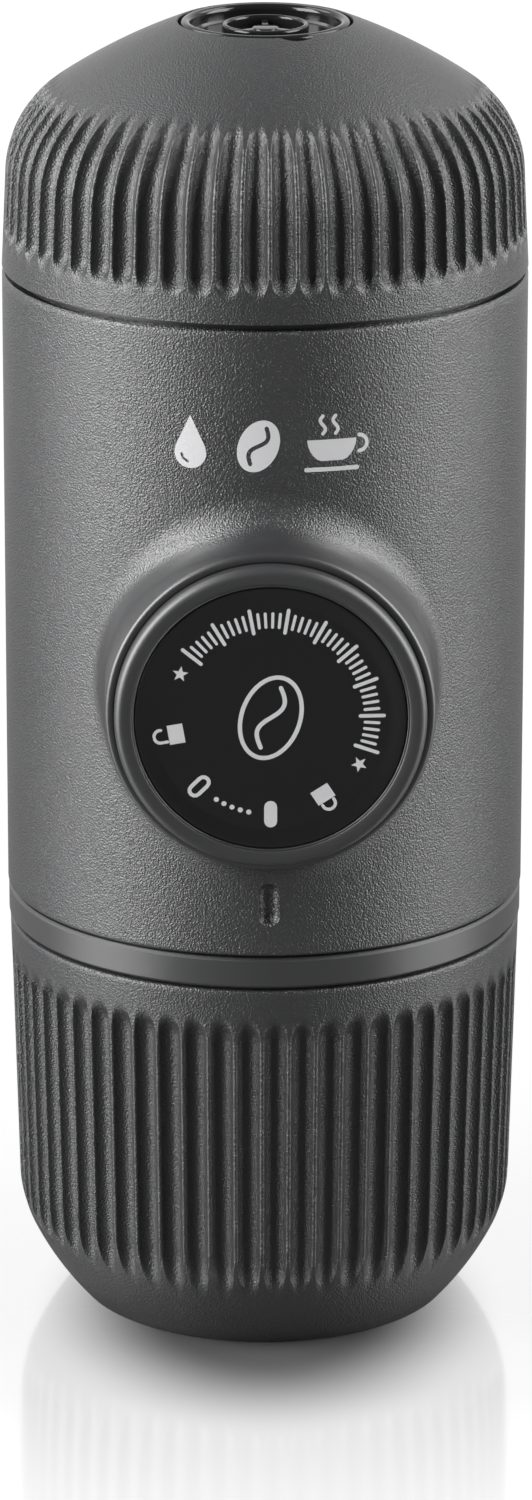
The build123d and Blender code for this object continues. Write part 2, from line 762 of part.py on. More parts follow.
with BuildPart() as piston_knob:
    with BuildSketch(knob_plane.offset(-knob_tail)):
        Circle(knob_r)
    extrude(amount=knob_face + knob_tail)
    fillet(piston_knob.edges().group_by(Axis.Y)[0], knob_edge_r)
    with BuildSketch(knob_plane.offset(-knob_tail)):
        add(ring_sector(knob_r - lug_h, lug_out_r, 90 - lug_angle / 2, lug_angle))
        add(ring_sector(knob_r - lug_h, lug_out_r, 270 - lug_angle / 2, lug_angle))
    extrude(amount=lug_len)
    with BuildSketch(knob_plane.offset(-knob_tail)):
        Circle(knob_r - knob_wall)
    extrude(amount=wall_back + knob_tail, mode=Mode.SUBTRACT)
    with BuildSketch(knob_plane.offset(knob_face)):
        Circle(dial_r + fit_gap)
    extrude(amount=dial_back - knob_face, mode=Mode.SUBTRACT)
    with BuildSketch(knob_plane.offset(dial_back)):
        Circle(knob_screw_head_r + fit_gap)
    extrude(amount=bearing_front - dial_back, mode=Mode.SUBTRACT)
    with BuildSketch(knob_plane.offset(bearing_front)):
        Circle(rod_r + screw_gap)
    extrude(amount=wall_back - bearing_front, mode=Mode.SUBTRACT)
finish(piston_knob.part, "piston_knob")

dial_front = dial_back + dial_t
dial_level = dial_front - dial_dish
dots_sweep = dot_step * (dot_count - 1)
dots_start = 270 - (lock_turn + dots_sweep) / 2

with BuildPart() as dial_plate:
    with BuildSketch(knob_plane.offset(dial_back)):
        Circle(dial_r)
    extrude(amount=dial_t)
    with BuildSketch(knob_plane.offset(dial_front)):
        Circle(dial_r - dial_border)
    extrude(amount=-dial_dish, taper=60, mode=Mode.SUBTRACT)
    # locked and unlocked marks, with dots between them
    with BuildSketch(knob_plane.offset(dial_level)):
        with PolarLocations(mark_ring_r, 2, 270 - lock_turn, lock_turn, endpoint=True):
            SlotOverall(mark_len, mark_w)
    extrude(amount=-mark_depth, mode=Mode.SUBTRACT)
    with BuildSketch(knob_plane.offset(dial_level)):
        with PolarLocations(mark_ring_r, dot_count, dots_start, dots_sweep, endpoint=True):
            Circle(dot_r)
    extrude(amount=-mark_depth, mode=Mode.SUBTRACT)
finish(dial_plate.part, "dial_plate")

# ---------------------------------------------------------------- body shell

shell_foot = shell_bottom + deck_seam / 2
shell_side_h = shell_top - seam / 2 - shell_foot
index_z = shell_bottom + index_rise

with BuildPart() as body_shell:
    with BuildSketch(Plane.XY.offset(shell_foot)):
        Circle(body_r)
    extrude(amount=shell_side_h)
    with BuildSketch(knob_plane):
        Circle(boss_r)
    extrude(amount=boss_front)
    boss_foot = body_shell.edges().filter_by(GeomType.BSPLINE).sort_by(Axis.Y)[0]
    fillet(boss_foot, boss_blend_r)
    with BuildSketch(Plane.XY.offset(shell_foot)):
        Circle(shell_in_r)
    extrude(amount=shell_side_h, mode=Mode.SUBTRACT)
    with BuildSketch(knob_plane):
        Circle(boss_bore_r)
    extrude(amount=boss_front, mode=Mode.SUBTRACT)
    with BuildSketch(knob_plane.offset(body_r).shift_origin((0, -body_r, index_z))):
        SlotOverall(index_h, index_w, rotation=90)
    extrude(amount=-index_depth, mode=Mode.SUBTRACT)
    rims = body_shell.edges().filter_by(GeomType.CIRCLE).filter_by(lambda e: abs(e.radius - body_r) < 0.01)
    chamfer(rims, edge_chamfer)
finish(body_shell.part, "body_shell")

# ---------------------------------------------------------------- brew head

cup_bottom = shell_top + seam / 2
head_channel_z = head_bottom + head_base_t / 2

with BuildPart() as brew_head:
    with BuildSketch(Plane.XZ):
        with BuildLine():
            Polyline(
                (0, head_bottom),
                (block_r, head_bottom),
                (block_r, cup_bottom - seam),
                (seam_r, cup_bottom - seam),
                (seam_r, cup_bottom),
                (collar_r, cup_bottom),
                (collar_r, cup_bottom + collar_h),
                (collar_in_r, cup_bottom + collar_h),
                (collar_in_r, head_deck),
                (neck_r, head_deck),
                (neck_r, neck_top),
                (screen_r + seat_gap, neck_top),
                (screen_r + seat_gap, neck_top - screen_ledge),
                (screen_r - screen_ledge, neck_top - screen_ledge),
                (screen_r - screen_ledge, chamber_floor),
                (0, chamber_floor),
                close=True,
            )
        make_face()
    revolve(axis=Axis.Z)
    # valve bore, its orifice, and the channel from the manifold's head
    with BuildSketch(Plane.XY.offset(chamber_floor)):
        Circle(valve_bore_r)
    extrude(amount=outlet_seat_z - chamber_floor, mode=Mode.SUBTRACT)
    with BuildSketch(Plane.XY.offset(outlet_seat_z)):
        Circle(orifice_r)
    extrude(amount=head_channel_z - outlet_seat_z, mode=Mode.SUBTRACT)
    with BuildSketch(Plane(origin=(0, 0, head_channel_z), z_dir=(0, 1, 0))):
        Circle(channel_r)
    extrude(amount=manifold_y, mode=Mode.SUBTRACT)
    with BuildSketch(Plane.XY.offset(head_bottom)):
        with Locations(port_spot):
            Circle(channel_r)
    extrude(amount=head_channel_z - head_bottom, mode=Mode.SUBTRACT)
    with BuildSketch(Plane.XY.offset(head_bottom)):
        with PolarLocations(pillar_circle_r, 4, start_angle=45):
            Circle(screw_r + screw_gap)
    extrude(amount=screw_bite + screw_gap, mode=Mode.SUBTRACT)
finish(brew_head.part, "brew_head")

finish(
    perforated_disc(screen_r, screen_t, neck_top - screen_ledge, screen_hole_r, screen_rings),
    "shower_screen",
)

# ---------------------------------------------------------------- outline of the cup

cup_skin = moulded_wall + flute_depth
foot_bore_r = foot_r + slip_gap
cup_rim = (body_r, cup_bottom)
cup_side_top = (body_r - cup_side_h * tan(radians(cup_lean)), cup_bottom + cup_side_h)
shoulder_mid, shoulder_end = bend(cup_side_top, cup_lean, cup_shoulder_turn, cup_shoulder_r, 1)
crown_turn = degrees(acos(cos(radians(cup_shoulder_turn)) - (shoulder_end[0] - foot_bore_r) / cup_crown_r))
crown_mid, crown_end = bend(shoulder_end, cup_shoulder_turn, crown_turn, cup_crown_r, 1)
foot_top = crown_end[1] + foot_proud
foot_seat = foot_top - foot_h
cup_ceiling = foot_seat - cup_floor_t

# ---------------------------------------------------------------- basket, scoop, outlet head

outlet_top = cup_ceiling - cap_room - spout_cap_wall - slip_gap - spout_h
outlet_ceiling = outlet_top - outlet_roof
basket_top = outlet_ceiling - 2 * slip_gap

gasket_in_r = basket_r + seat_gap
flange_bottom = neck_top + gasket_t
flange_top = flange_bottom + basket_flange_t
flange_r = gasket_in_r + gasket_w - slip_gap
basket_depth = basket_top - flange_bottom
hole_pitch = basket_r / (basket_rings + 1)

with BuildPart() as basket_gasket:
    with BuildSketch(Plane.XY.offset(neck_top)):
        Circle(gasket_in_r + gasket_w)
        Circle(gasket_in_r, mode=Mode.SUBTRACT)
    extrude(amount=gasket_t)
finish(basket_gasket.part, "basket_gasket")

with BuildPart() as filter_basket:
    with BuildSketch(Plane.XY.offset(flange_bottom)):
        Circle(flange_r)
    extrude(amount=basket_flange_t)
    with BuildSketch(Plane.XY.offset(flange_bottom)):
        Circle(basket_r)
    extrude(amount=basket_depth)
    fillet(filter_basket.edges().group_by(Axis.Z)[-1], basket_edge_r)
    with BuildSketch(Plane.XY.offset(flange_bottom)):
        Circle(basket_r - basket_t)
    extrude(amount=basket_depth - basket_t - basket_edge_r, mode=Mode.SUBTRACT)
    with BuildSketch(Plane.XY.offset(basket_top - basket_t - basket_edge_r)):
        Circle(basket_r - basket_t - basket_edge_r)
    extrude(amount=basket_edge_r, mode=Mode.SUBTRACT)
    with BuildSketch(Plane.XY.offset(basket_top - basket_t)):
        Circle(basket_hole_r)
        for ring in range(1, basket_rings + 1):
            with PolarLocations(ring * hole_pitch, 6 * ring):
                Circle(basket_hole_r)
    extrude(amount=basket_t, mode=Mode.SUBTRACT)
finish(filter_basket.part, "filter_basket")

scoop_r = basket_r - basket_t - scoop_gap
scoop_rim = neck_top - screen_ledge + screen_t + seat_gap

with BuildPart() as scoop:
    with BuildSketch(Plane.XY.offset(scoop_rim)):
        Circle(scoop_r)
    extrude(amount=scoop_depth)
    fillet(scoop.edges().group_by(Axis.Z)[-1], scoop_wall)
    with BuildSketch(Plane.XY.offset(scoop_rim)):
        Circle(scoop_r - scoop_wall)
    extrude(amount=scoop_depth - scoop_wall, mode=Mode.SUBTRACT)
finish(scoop.part, "scoop")

outlet_bottom = head_deck + outlet_rise
spout_top = outlet_top + spout_h
corner_side = outlet_shoulder * (1 - sqrt(0.5))

with BuildPart() as outlet_head:
    with BuildSketch(Plane.XZ):
        with BuildLine():
            Polyline(
                (outlet_r, outlet_top - outlet_shoulder),
                (outlet_r, outlet_bottom),
                (outlet_in_r, outlet_bottom),
                (outlet_in_r, flange_top),
                (basket_r + slip_gap, flange_top),
                (basket_r + slip_gap, outlet_ceiling),
                (spout_bore_r, outlet_ceiling),
                (spout_bore_r, spout_top),
                (spout_r, spout_top),
                (spout_r, outlet_top),
                (outlet_r - outlet_shoulder, outlet_top),
            )
            ThreePointArc(
                (outlet_r - outlet_shoulder, outlet_top),
                (outlet_r - corner_side, outlet_top - corner_side),
                (outlet_r, outlet_top - outlet_shoulder),
            )
        make_face()
    revolve(axis=Axis.Z)
    with BuildSketch(Plane.XY.offset(flange_top)):
        with PolarLocations(outlet_r + outlet_grip_r / 2, outlet_grips):
            Circle(outlet_grip_r)
    extrude(amount=outlet_top - flange_top, mode=Mode.SUBTRACT)
finish(outlet_head.part, "outlet_head")

cap_in_r = spout_r + slip_gap
cap_bottom = outlet_top + seat_gap
cap_inside = spout_top + slip_gap

with BuildPart() as spout_cap:
    with BuildSketch(Plane.XY.offset(cap_bottom)):
        Circle(cap_in_r + spout_cap_wall)
    extrude(amount=cap_inside + spout_cap_wall - cap_bottom)
    fillet(spout_cap.edges().group_by(Axis.Z)[-1], spout_cap_wall / 2)
    with BuildSketch(Plane.XY.offset(cap_bottom)):
        Circle(cap_in_r)
    extrude(amount=cap_inside - cap_bottom, mode=Mode.SUBTRACT)
finish(spout_cap.part, "spout_cap")

# ---------------------------------------------------------------- cup and its foot

inner_side_top = inward(cup_side_top, cup_lean, cup_skin, 1)
inner_shoulder_mid = inward(shoulder_mid, (cup_lean + cup_shoulder_turn) / 2, cup_skin, 1)
inner_shoulder = inward(shoulder_end, cup_shoulder_turn, cup_skin, 1)
inner_crown = inward(crown_mid, (cup_shoulder_turn + crown_turn) / 2, cup_skin, 1)
collar_pocket = cup_bottom + collar_h + 2 * slip_gap

flute_rise = cup_flute_start + flute_r
flute_foot = inward(
    (body_r - flute_rise * tan(radians(cup_lean)), cup_bottom + flute_rise),
    cup_lean,
    -flute_out,
    1,
)
flute_knee = inward(cup_side_top, cup_lean, -flute_out - flute_fade, 1)
knee_lean = degrees(atan((flute_foot[0] - flute_knee[0]) / (flute_knee[1] - flute_foot[1])))
knee_mid, knee_end = bend(flute_knee, knee_lean, cup_flute_bend, cup_flute_bend_r, 1)
run_out = (
    knee_end[0] - cup_shoulder_r * sin(radians(cup_flute_bend)),
    knee_end[1] + cup_shoulder_r * cos(radians(cup_flute_bend)),
)

with BuildPart() as cup_flute:
    with BuildLine(Plane.XZ) as cup_flute_path:
        Line(flute_foot, flute_knee)
        ThreePointArc(flute_knee, knee_mid, knee_end)
        Line(knee_end, run_out)
    with BuildSketch(Plane(origin=cup_flute_path.line @ 0, z_dir=cup_flute_path.line % 0)):
        Circle(flute_r)
    sweep(path=cup_flute_path.line)
    with Locations(cup_flute_path.line @ 0):
        Sphere(flute_r)

with BuildPart() as cup:
    with BuildSketch(Plane.XZ):
        with BuildLine():
            Line(cup_rim, cup_side_top)
            ThreePointArc(cup_side_top, shoulder_mid, shoulder_end)
            ThreePointArc(shoulder_end, crown_mid, crown_end)
            Polyline(
                crown_end,
                (foot_bore_r, foot_seat),
                (0, foot_seat),
                (0, cup_ceiling),
                (inner_crown[0], cup_ceiling),
                inner_shoulder,
            )
            ThreePointArc(inner_shoulder, inner_shoulder_mid, inner_side_top)
            Polyline(
                inner_side_top,
                (inner_side_top[0], collar_pocket),
                (cup_bore_r, collar_pocket),
                (cup_bore_r, cup_bottom),
                cup_rim,
            )
        make_face()
    revolve(axis=Axis.Z)
    with PolarLocations(0, flute_count, start_angle=180 / flute_count):
        add(cup_flute.part, mode=Mode.SUBTRACT)
    with BuildSketch(Plane.XY.offset(foot_top)):
        with PolarLocations(foot_bore_r + notch_reach - notch_r, 1, start_angle=notch_angle):
            Circle(notch_r)
    extrude(amount=-notch_depth, mode=Mode.SUBTRACT)
finish(cup.part, "cup")

dish_level = foot_top - foot_dish

with BuildPart() as cup_foot:
    with BuildSketch(Plane.XY.offset(foot_seat)):
        Circle(foot_r)
    extrude(amount=foot_h)
    fillet(cup_foot.edges().group_by(Axis.Z)[-1], foot_rim / 3)
    with BuildSketch(Plane.XY.offset(foot_top)):
        Circle(foot_r - foot_rim)
    extrude(amount=-foot_dish, mode=Mode.SUBTRACT)
    with BuildSketch(Plane.XY.offset(dish_level)):
        Circle(foot_ring_r + foot_ring_w / 2)
        Circle(foot_ring_r - foot_ring_w / 2, mode=Mode.SUBTRACT)
    extrude(amount=foot_dish - foot_ring_drop)
    with BuildSketch(Plane.XY.offset(dish_level)):
        Circle(foot_hub_r)
        with PolarLocations(foot_ring_r / 2, 3, start_angle=90):
            Rectangle(foot_ring_r, foot_ring_w)
    extrude(amount=foot_dish / 2)
finish(cup_foot.part, "cup_foot")
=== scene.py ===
import json
from math import acos, asin, atan2, cos, degrees, pi, radians, sin, sqrt, tan

import bmesh
import bpy
import numpy as np
from mathutils import Matrix, Vector


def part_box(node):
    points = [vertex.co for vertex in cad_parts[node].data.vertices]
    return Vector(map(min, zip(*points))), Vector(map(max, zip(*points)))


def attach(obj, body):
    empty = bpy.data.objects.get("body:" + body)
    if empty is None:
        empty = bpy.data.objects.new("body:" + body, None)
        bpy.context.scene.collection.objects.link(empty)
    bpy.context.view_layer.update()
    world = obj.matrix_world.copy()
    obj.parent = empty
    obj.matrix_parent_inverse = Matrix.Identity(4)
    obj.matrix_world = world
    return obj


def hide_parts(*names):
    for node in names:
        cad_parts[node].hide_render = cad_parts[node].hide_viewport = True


# Handheld manual espresso maker, standing upright on its water tank.
# The shapes are worked out in millimetres, and made into meshes in metres.
# +Z is up and the pump knob faces -Y.

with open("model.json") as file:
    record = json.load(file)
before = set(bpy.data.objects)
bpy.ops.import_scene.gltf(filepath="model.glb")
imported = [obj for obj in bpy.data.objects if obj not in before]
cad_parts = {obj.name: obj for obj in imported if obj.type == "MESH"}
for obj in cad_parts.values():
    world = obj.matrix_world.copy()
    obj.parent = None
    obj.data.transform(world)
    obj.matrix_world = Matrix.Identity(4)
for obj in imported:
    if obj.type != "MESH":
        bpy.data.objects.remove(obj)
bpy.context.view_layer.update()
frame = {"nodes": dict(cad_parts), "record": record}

MM = 0.001


def box_mm(node):
    """Lowest and highest corner of a CAD node, in millimetres."""
    low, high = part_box(node)
    return low / MM, high / MM


# ---------------------------------------------------------------- sizes from the frame

shell_low, shell_high = box_mm("body_shell")
cup_low = box_mm("cup")[0]
tank_high = box_mm("water_tank")[1]
knob_low, knob_high = box_mm("piston_knob")
foot_low, foot_high = box_mm("cup_foot")
rod_low, rod_high = box_mm("piston_rod")
dial_low, dial_high = box_mm("dial_plate")

body_r = shell_high.x
tank_top_r = tank_high.x
knob_z = (rod_low.z + rod_high.z) / 2
knob_face = -knob_low.y
knob_tail = knob_high.y
dial_front = -dial_low.y
dial_back = -dial_high.y
dial_r = dial_high.x
rod_tip = -rod_low.y
screw_head_r = box_mm("knob_screw")[1].x
boss_front = -shell_low.y
foot_r = foot_high.x

# ---------------------------------------------------------------- sizes of the visible forms

edge = 0.28  # eased edge beside a parting line
seam_sink = 0.5  # depth of the dark seams in the shell's rims
seam_ease = 0.1  # how much wider the seam under the cup looks on each side
seam_lean = 0.1  # how far a dark seam's sides lean in
wall = 2.0  # wall of the body shell
fluted_wall = 3.0  # wall of the cup and the tank, flutes included
fine_edge = 0.12  # eased edge of a bore
sharp_turn = 35  # degrees between faces from which an edge stays sharp

flute_count = 60
flute_r = 1.38  # a flute's round bed
crest_r = 0.32  # round crest between two flutes
flute_side = 72.0  # slope in degrees at which a flute's round bed meets the round crest
end_ease = 0.6  # softness of the flutes' ends
tank_turn = -1.5  # degrees between the tank's flutes and the cup's
# flutes along the wall from its rim: start, length of the run-in, end, length of the run-off
cup_flutes = (2.0, 3.4, 26.5, 7.0)
tank_flutes = (2.6, 4.0, 42.5, 8.0)

# side, shoulder and crown of the cup; its lean and turn are in degrees from upright
cup_side_h = 11.4
cup_lean = 2.7
cup_shoulder_r = 12.7
cup_shoulder_turn = 55.9
cup_crown_r = 72.3
cup_ceiling_r = 16.5
cup_bore_h = 1.6  # finely divided top of the foot's bore, which the notch cuts into
cup_bottom_in = 0.3  # row of points inside the outer edge of the lower face
foot_gap = 0.25
floor_t = 1.4  # between the foot's bore and the cup's ceiling
collar_r = 28.0
collar_h = 4.5
notch_r = 2.6  # finger notch in the crown beside the foot
notch_reach = 0.8
notch_depth = 1.4
notch_angle = -70.0
notch_wall = 0.12  # how far the notch's wall leans

foot_rim = 1.3
foot_dish = 1.8
foot_cove = 0.25  # bevel where the rim meets the bed
foot_ring_r = 4.75
foot_ring_w = 0.7
foot_ring_drop = 0.4
foot_hub_r = 1.6
foot_hub_edge = 0.2
foot_spokes = 3
spoke_sink = 0.2  # how far the spokes reach into the bed
spoke_drop = 0.05  # how far they end below the hub's top

# wall, haunch and belly of the tank; its turn is in degrees from upright
tank_lip = 0.35
tank_lip_facet = 0.1
tank_lean_h = 33.2
tank_haunch_in = 0.8
tank_haunch_r = 15.0
tank_haunch_turn = 26.0
tank_belly_r = 36.0
tank_foot_in = 1.2  # row of points inside the edge of the flat foot
tank_floor_t = 2.4
tank_floor_in = 4.0  # from the flat foot's edge to the inside floor's
tank_haunch_wall = 3.4
tank_haunch_rise = 1.5  # inside corner above the end of the haunch

patch_turn = 62  # degrees that the shell's front patch reaches to each side
boss_r = 19.0
boss_blend_r = 5.5
boss_bore_r = 18.04
boss_edge_r = 0.6
grain_gap = 0.3  # smooth ring outside the boss's side
grain_run_in = 1.6  # length over which the grain comes in
index_z = 58.5
index_w = 2.3
index_h = 5.15
index_depth = 0.75
mark_z = 113.8  # middle of the row of pictograms
print_t = 0.025  # height of a print above its surface, and its depth below

knob_r = 17.93
knob_wall = 2.0
knob_front_wall = 4.0
rod_r = 3.0  # front of the rod, in the knob; its box also holds the wider rear
knob_bead = 1.0  # radius of the rim's round outer edge
knob_lip = 0.1  # radius of the lip round the dial
knob_lip_drop = 0.25  # how far the lip lies behind the knob's face
lug_h = 1.4
lug_len = 3.0
lug_angle = 12.0
dial_gap = 0.1
dial_edge = 0.2
dial_border = 2.0  # width of the slope from the edge to the sunk field
dial_dish = 0.4
dial_ring_r = 11.6  # middle of the ring of marks


# ---------------------------------------------------------------- meshes


def arc(centre, radius, start, end, count):
    """Points of an arc in (r, z), angles in degrees from the r axis."""
    turns = np.radians(np.linspace(start, end, count))
    return np.column_stack((centre[0] + radius * np.cos(turns), centre[1] + radius * np.sin(turns)))


def line(start, end, count):
    """Points of a straight line in (r, z)."""
    return np.linspace(start, end, count)


def join(*stretches):
    """One path from stretches that meet end to end."""
    path = [stretches[0]]
    for stretch in stretches[1:]:
        path.append(np.atleast_2d(stretch)[1:])
    return np.concatenate(path)


def bend(start, turn_from, turn_to, radius, up, count):
    """Points of an arc that leans inwards from a wall of revolution."""
    turns = np.radians(np.linspace(turn_from, turn_to, count))
    first = radians(turn_from)
    run = radius * (cos(first) - np.cos(turns))
    rise = radius * (np.sin(turns) - sin(first))
    return np.column_stack((start[0] - run, start[1] + up * rise))


def lengths(path):
    """Distance of each point of a path from its start."""
    steps = np.linalg.norm(np.diff(path, axis=0), axis=1)
    return np.concatenate(([0.0], np.cumsum(steps)))


def normals(path):
    """Unit normals of a path in (r, z) along the outside of a wall, pointing out."""
    way = np.gradient(path, axis=0)
    way /= np.linalg.norm(way, axis=1)[:, None]
    outward = np.column_stack((way[:, 1], -way[:, 0]))
    return outward if path[-1][1] > path[0][1] else -outward


def turned(path, angles):
    """Net of a path in (r, z) turned about Z through the angles, in radians."""
    r = path[:, 0][:, None]
    z = np.broadcast_to(path[:, 1][:, None], (len(path), len(angles)))
    return np.stack((r * np.cos(angles), r * np.sin(angles), z), axis=-1)


def quads(shape, first=0, around=True, looped=False):
    """Faces of a net of points, whose rows close on themselves if around is set."""
    index = first + np.arange(shape[0] * shape[1]).reshape(shape[0], shape[1])
    low = index if looped else index[:-1]
    high = np.roll(index, -1, axis=0) if looped else index[1:]
    if around:
        corners = (low, np.roll(low, -1, axis=1), np.roll(high, -1, axis=1), high)
    else:
        corners = (low[:, :-1], low[:, 1:], high[:, 1:], high[:, :-1])
    return np.stack(corners, axis=-1).reshape(-1, 4)


def solid(name, nets, body, material):
    """Closed object of one or more nets, given as (points, around, looped)."""
    points, faces, first = [], [], 0
    for net, around, looped in nets:
        rows, columns = net.shape[:2]
        points.append(net.reshape(-1, 3) * MM)
        faces.extend(quads(net.shape, first, around, looped).tolist())
        if looped and not around:
            start = [first + row * columns for row in range(rows)]
            faces.append(start[::-1])
            faces.append([corner + columns - 1 for corner in start])
        first += rows * columns
    mesh = bpy.data.meshes.new(name)
    mesh.from_pydata(np.concatenate(points).tolist(), [], faces)
    work = bmesh.new()
    work.from_mesh(mesh)
    bmesh.ops.remove_doubles(work, verts=work.verts, dist=0.0005 * MM)
    bmesh.ops.dissolve_degenerate(work, edges=work.edges, dist=0.0001 * MM)
    bmesh.ops.recalc_face_normals(work, faces=work.faces)
    work.to_mesh(mesh)
    work.free()
    mesh.shade_smooth()
    mesh.set_sharp_from_angle(angle=radians(sharp_turn))
    piece = bpy.data.objects.new(name, mesh)
    bpy.context.scene.collection.objects.link(piece)
    mesh.materials.append(material)
    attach(piece, body)
    return piece


# ---------------------------------------------------------------- materials


def new_material(name):
    """A node material with its Principled shader and an object coordinate."""
    material = bpy.data.materials.new(name)
    material.use_nodes = True
    tree = material.node_tree
    shader = tree.nodes["Principled BSDF"]
    place = tree.nodes.new("ShaderNodeTexCoord")
    return material, tree, shader, place.outputs["Object"]


def noise(tree, place, scale, detail):
    """Noise from 0 to 1 at a scale in spots per metre."""
    node = tree.nodes.new("ShaderNodeTexNoise")
    node.inputs["Scale"].default_value = scale
    node.inputs["Detail"].default_value = detail
    tree.links.new(place, node.inputs["Vector"])
    return node.outputs["Fac"]


def spread(tree, value, low, high, to_low, to_high, kind="LINEAR"):
    """Maps a value from one range to another."""
    node = tree.nodes.new("ShaderNodeMapRange")
    node.interpolation_type = kind
    for name, number in (("From Min", low), ("From Max", high), ("To Min", to_low), ("To Max", to_high)):
        node.inputs[name].default_value = number
    tree.links.new(value, node.inputs["Value"])
    return node.outputs["Result"]


def combined(tree, operation, first, second):
    """One value from two by a math operation."""
    node = tree.nodes.new("ShaderNodeMath")
    node.operation = operation
    tree.links.new(first, node.inputs[0])
    tree.links.new(second, node.inputs[1])
    return node.outputs["Value"]


def tint(tree, value, dark, light):
    """Colour between two colours."""
    node = tree.nodes.new("ShaderNodeMix")
    node.data_type = "RGBA"
    node.inputs["A"].default_value = (*dark, 1.0)
    node.inputs["B"].default_value = (*light, 1.0)
    tree.links.new(value, node.inputs["Factor"])
    return node.outputs["Result"]


def bump(tree, shader, height, depth, strength=None):
    """Bump of a depth in metres on the shader, at full strength unless one is linked in."""
    node = tree.nodes.new("ShaderNodeBump")
    node.inputs["Distance"].default_value = depth
    node.inputs["Strength"].default_value = 1.0
    tree.links.new(height, node.inputs["Height"])
    if strength:
        tree.links.new(strength, node.inputs["Strength"])
    tree.links.new(node.outputs["Normal"], shader.inputs["Normal"])


def clouded(tree, shader, cloud, colour, shares, roughness):
    """Colour and roughness that follow a noise, between two shares of the colour and two roughnesses."""
    dark, light = (tuple(channel * share for channel in colour) for share in shares)
    tree.links.new(tint(tree, cloud, dark, light), shader.inputs["Base Color"])
    tree.links.new(spread(tree, cloud, 0.3, 0.7, *roughness), shader.inputs["Roughness"])


def grained_plastic(name, colour, roughness, depth, faded=False, specular=1.0):
    """Moulded plastic with a fine leather grain, which follows the mesh's grain attribute if faded."""
    material, tree, shader, place = new_material(name)
    cloud = noise(tree, place, 90.0, 3.0)
    clouded(tree, shader, cloud, colour, (0.93, 1.07), (roughness - 0.02, roughness + 0.02))
    shader.inputs["Specular IOR Level"].default_value = specular
    fade = None
    if faded:
        grain = tree.nodes.new("ShaderNodeAttribute")
        grain.attribute_name = "grain"
        fade = grain.outputs["Fac"]
    bump(tree, shader, noise(tree, place, 4500.0, 1.0), depth, fade)
    return material


def satin_plastic(name, colour, roughness, specular=0.5):
    """Smooth moulded plastic with the faintest waviness of the tool's polish."""
    material, tree, shader, place = new_material(name)
    cloud = noise(tree, place, 70.0, 3.0)
    clouded(tree, shader, cloud, colour, (0.95, 1.05), (roughness - 0.02, roughness + 0.02))
    shader.inputs["Specular IOR Level"].default_value = specular
    bump(tree, shader, noise(tree, place, 6000.0, 1.0), 0.000004)
    return material


def metal(name, colour, roughness, stretch):
    """Steel, brushed along the direction in which the noise is stretched."""
    material, tree, shader, place = new_material(name)
    mapping = tree.nodes.new("ShaderNodeMapping")
    mapping.inputs["Scale"].default_value = stretch
    tree.links.new(place, mapping.inputs["Vector"])
    streaks = noise(tree, mapping.outputs["Vector"], 1.0, 3.0)
    shader.inputs["Metallic"].default_value = 1.0
    clouded(tree, shader, streaks, colour, (0.9, 1.0), (roughness, roughness + 0.12))
    bump(tree, shader, streaks, 0.00001)
    return material


def rubber(name, colour, roughness):
    """Moulded rubber or silicone with a dull, slightly dusty surface."""
    material, tree, shader, place = new_material(name)
    cloud = noise(tree, place, 200.0, 4.0)
    clouded(tree, shader, cloud, colour, (0.85, 1.15), (roughness - 0.05, roughness + 0.05))
    bump(tree, shader, noise(tree, place, 3500.0, 2.0), 0.00001)
    return material


shell_grey = (0.030, 0.0305, 0.032)
grained = grained_plastic("grained_grey_plastic", shell_grey, 0.36, 0.00013, True)
ribbed = grained_plastic("ribbed_grey_plastic", shell_grey, 0.38, 0.00012, specular=0.78)
satin = satin_plastic("satin_grey_plastic", (0.029, 0.0295, 0.031), 0.42, 1.0)
gloss = satin_plastic("gloss_black_plastic", (0.012, 0.012, 0.013), 0.12)
black = satin_plastic("black_plastic", (0.018, 0.018, 0.019), 0.35)
white = satin_plastic("white_plastic", (0.70, 0.69, 0.66), 0.35)
dial_black = satin_plastic("dial_black", (0.012, 0.012, 0.0125), 0.22)
ink = satin_plastic("silver_ink", (0.62, 0.62, 0.63), 0.4)

slot_looks = {
    "grained_grey_plastic": grained,
    "satin_grey_plastic": satin,
    "gloss_black_plastic": gloss,
    "black_plastic": black,
    "white_plastic": white,
    "seal_rubber": rubber("seal_rubber", (0.015, 0.015, 0.015), 0.6),
    "clear_silicone": rubber("clear_silicone", (0.6, 0.58, 0.54), 0.4),
    "steel_mesh": metal("steel_mesh", (0.6, 0.6, 0.6), 0.25, (3000.0, 300.0, 3000.0)),
    "basket_steel": metal("basket_steel", (0.62, 0.62, 0.61), 0.22, (300.0, 300.0, 5000.0)),
    "spring_steel": metal("spring_steel", (0.5, 0.5, 0.5), 0.25, (800.0, 800.0, 800.0)),
    "screw_steel": metal("screw_steel", (0.45, 0.45, 0.45), 0.3, (2000.0, 2000.0, 2000.0)),
    "rod_steel": metal("rod_steel", (0.7, 0.7, 0.7), 0.12, (4000.0, 300.0, 4000.0)),
}


def dress_cad_nodes():
    """Gives every CAD node the look of its material slot."""
    slots = {}
    for part in frame["record"]["subparts"]:
        slots[part["node"]] = part["material_slot"]
    for name, node in frame["nodes"].items():
        look = slot_looks[slots[name]]
        node.data.materials.clear()
        node.data.materials.append(look)


# ---------------------------------------------------------------- flutes


def flute_section():
    """Half of a flute's section, from the bed to the crest: shares of the pitch, and depths."""
    side = radians(flute_side)
    pitch = 2 * pi * body_r / flute_count
    both = flute_r + crest_r
    depth = both * (1 - 1 / cos(side)) + pitch / 2 * tan(side)
    bed = np.linspace(0, side, 10)
    crest = np.linspace(side, 0, 8)[1:]
    shares = np.concatenate((flute_r * np.sin(bed) / pitch, 0.5 - crest_r * np.sin(crest) / pitch))
    return shares, np.concatenate((depth - flute_r * (1 - np.cos(bed)), crest_r * (1 - np.cos(crest))))


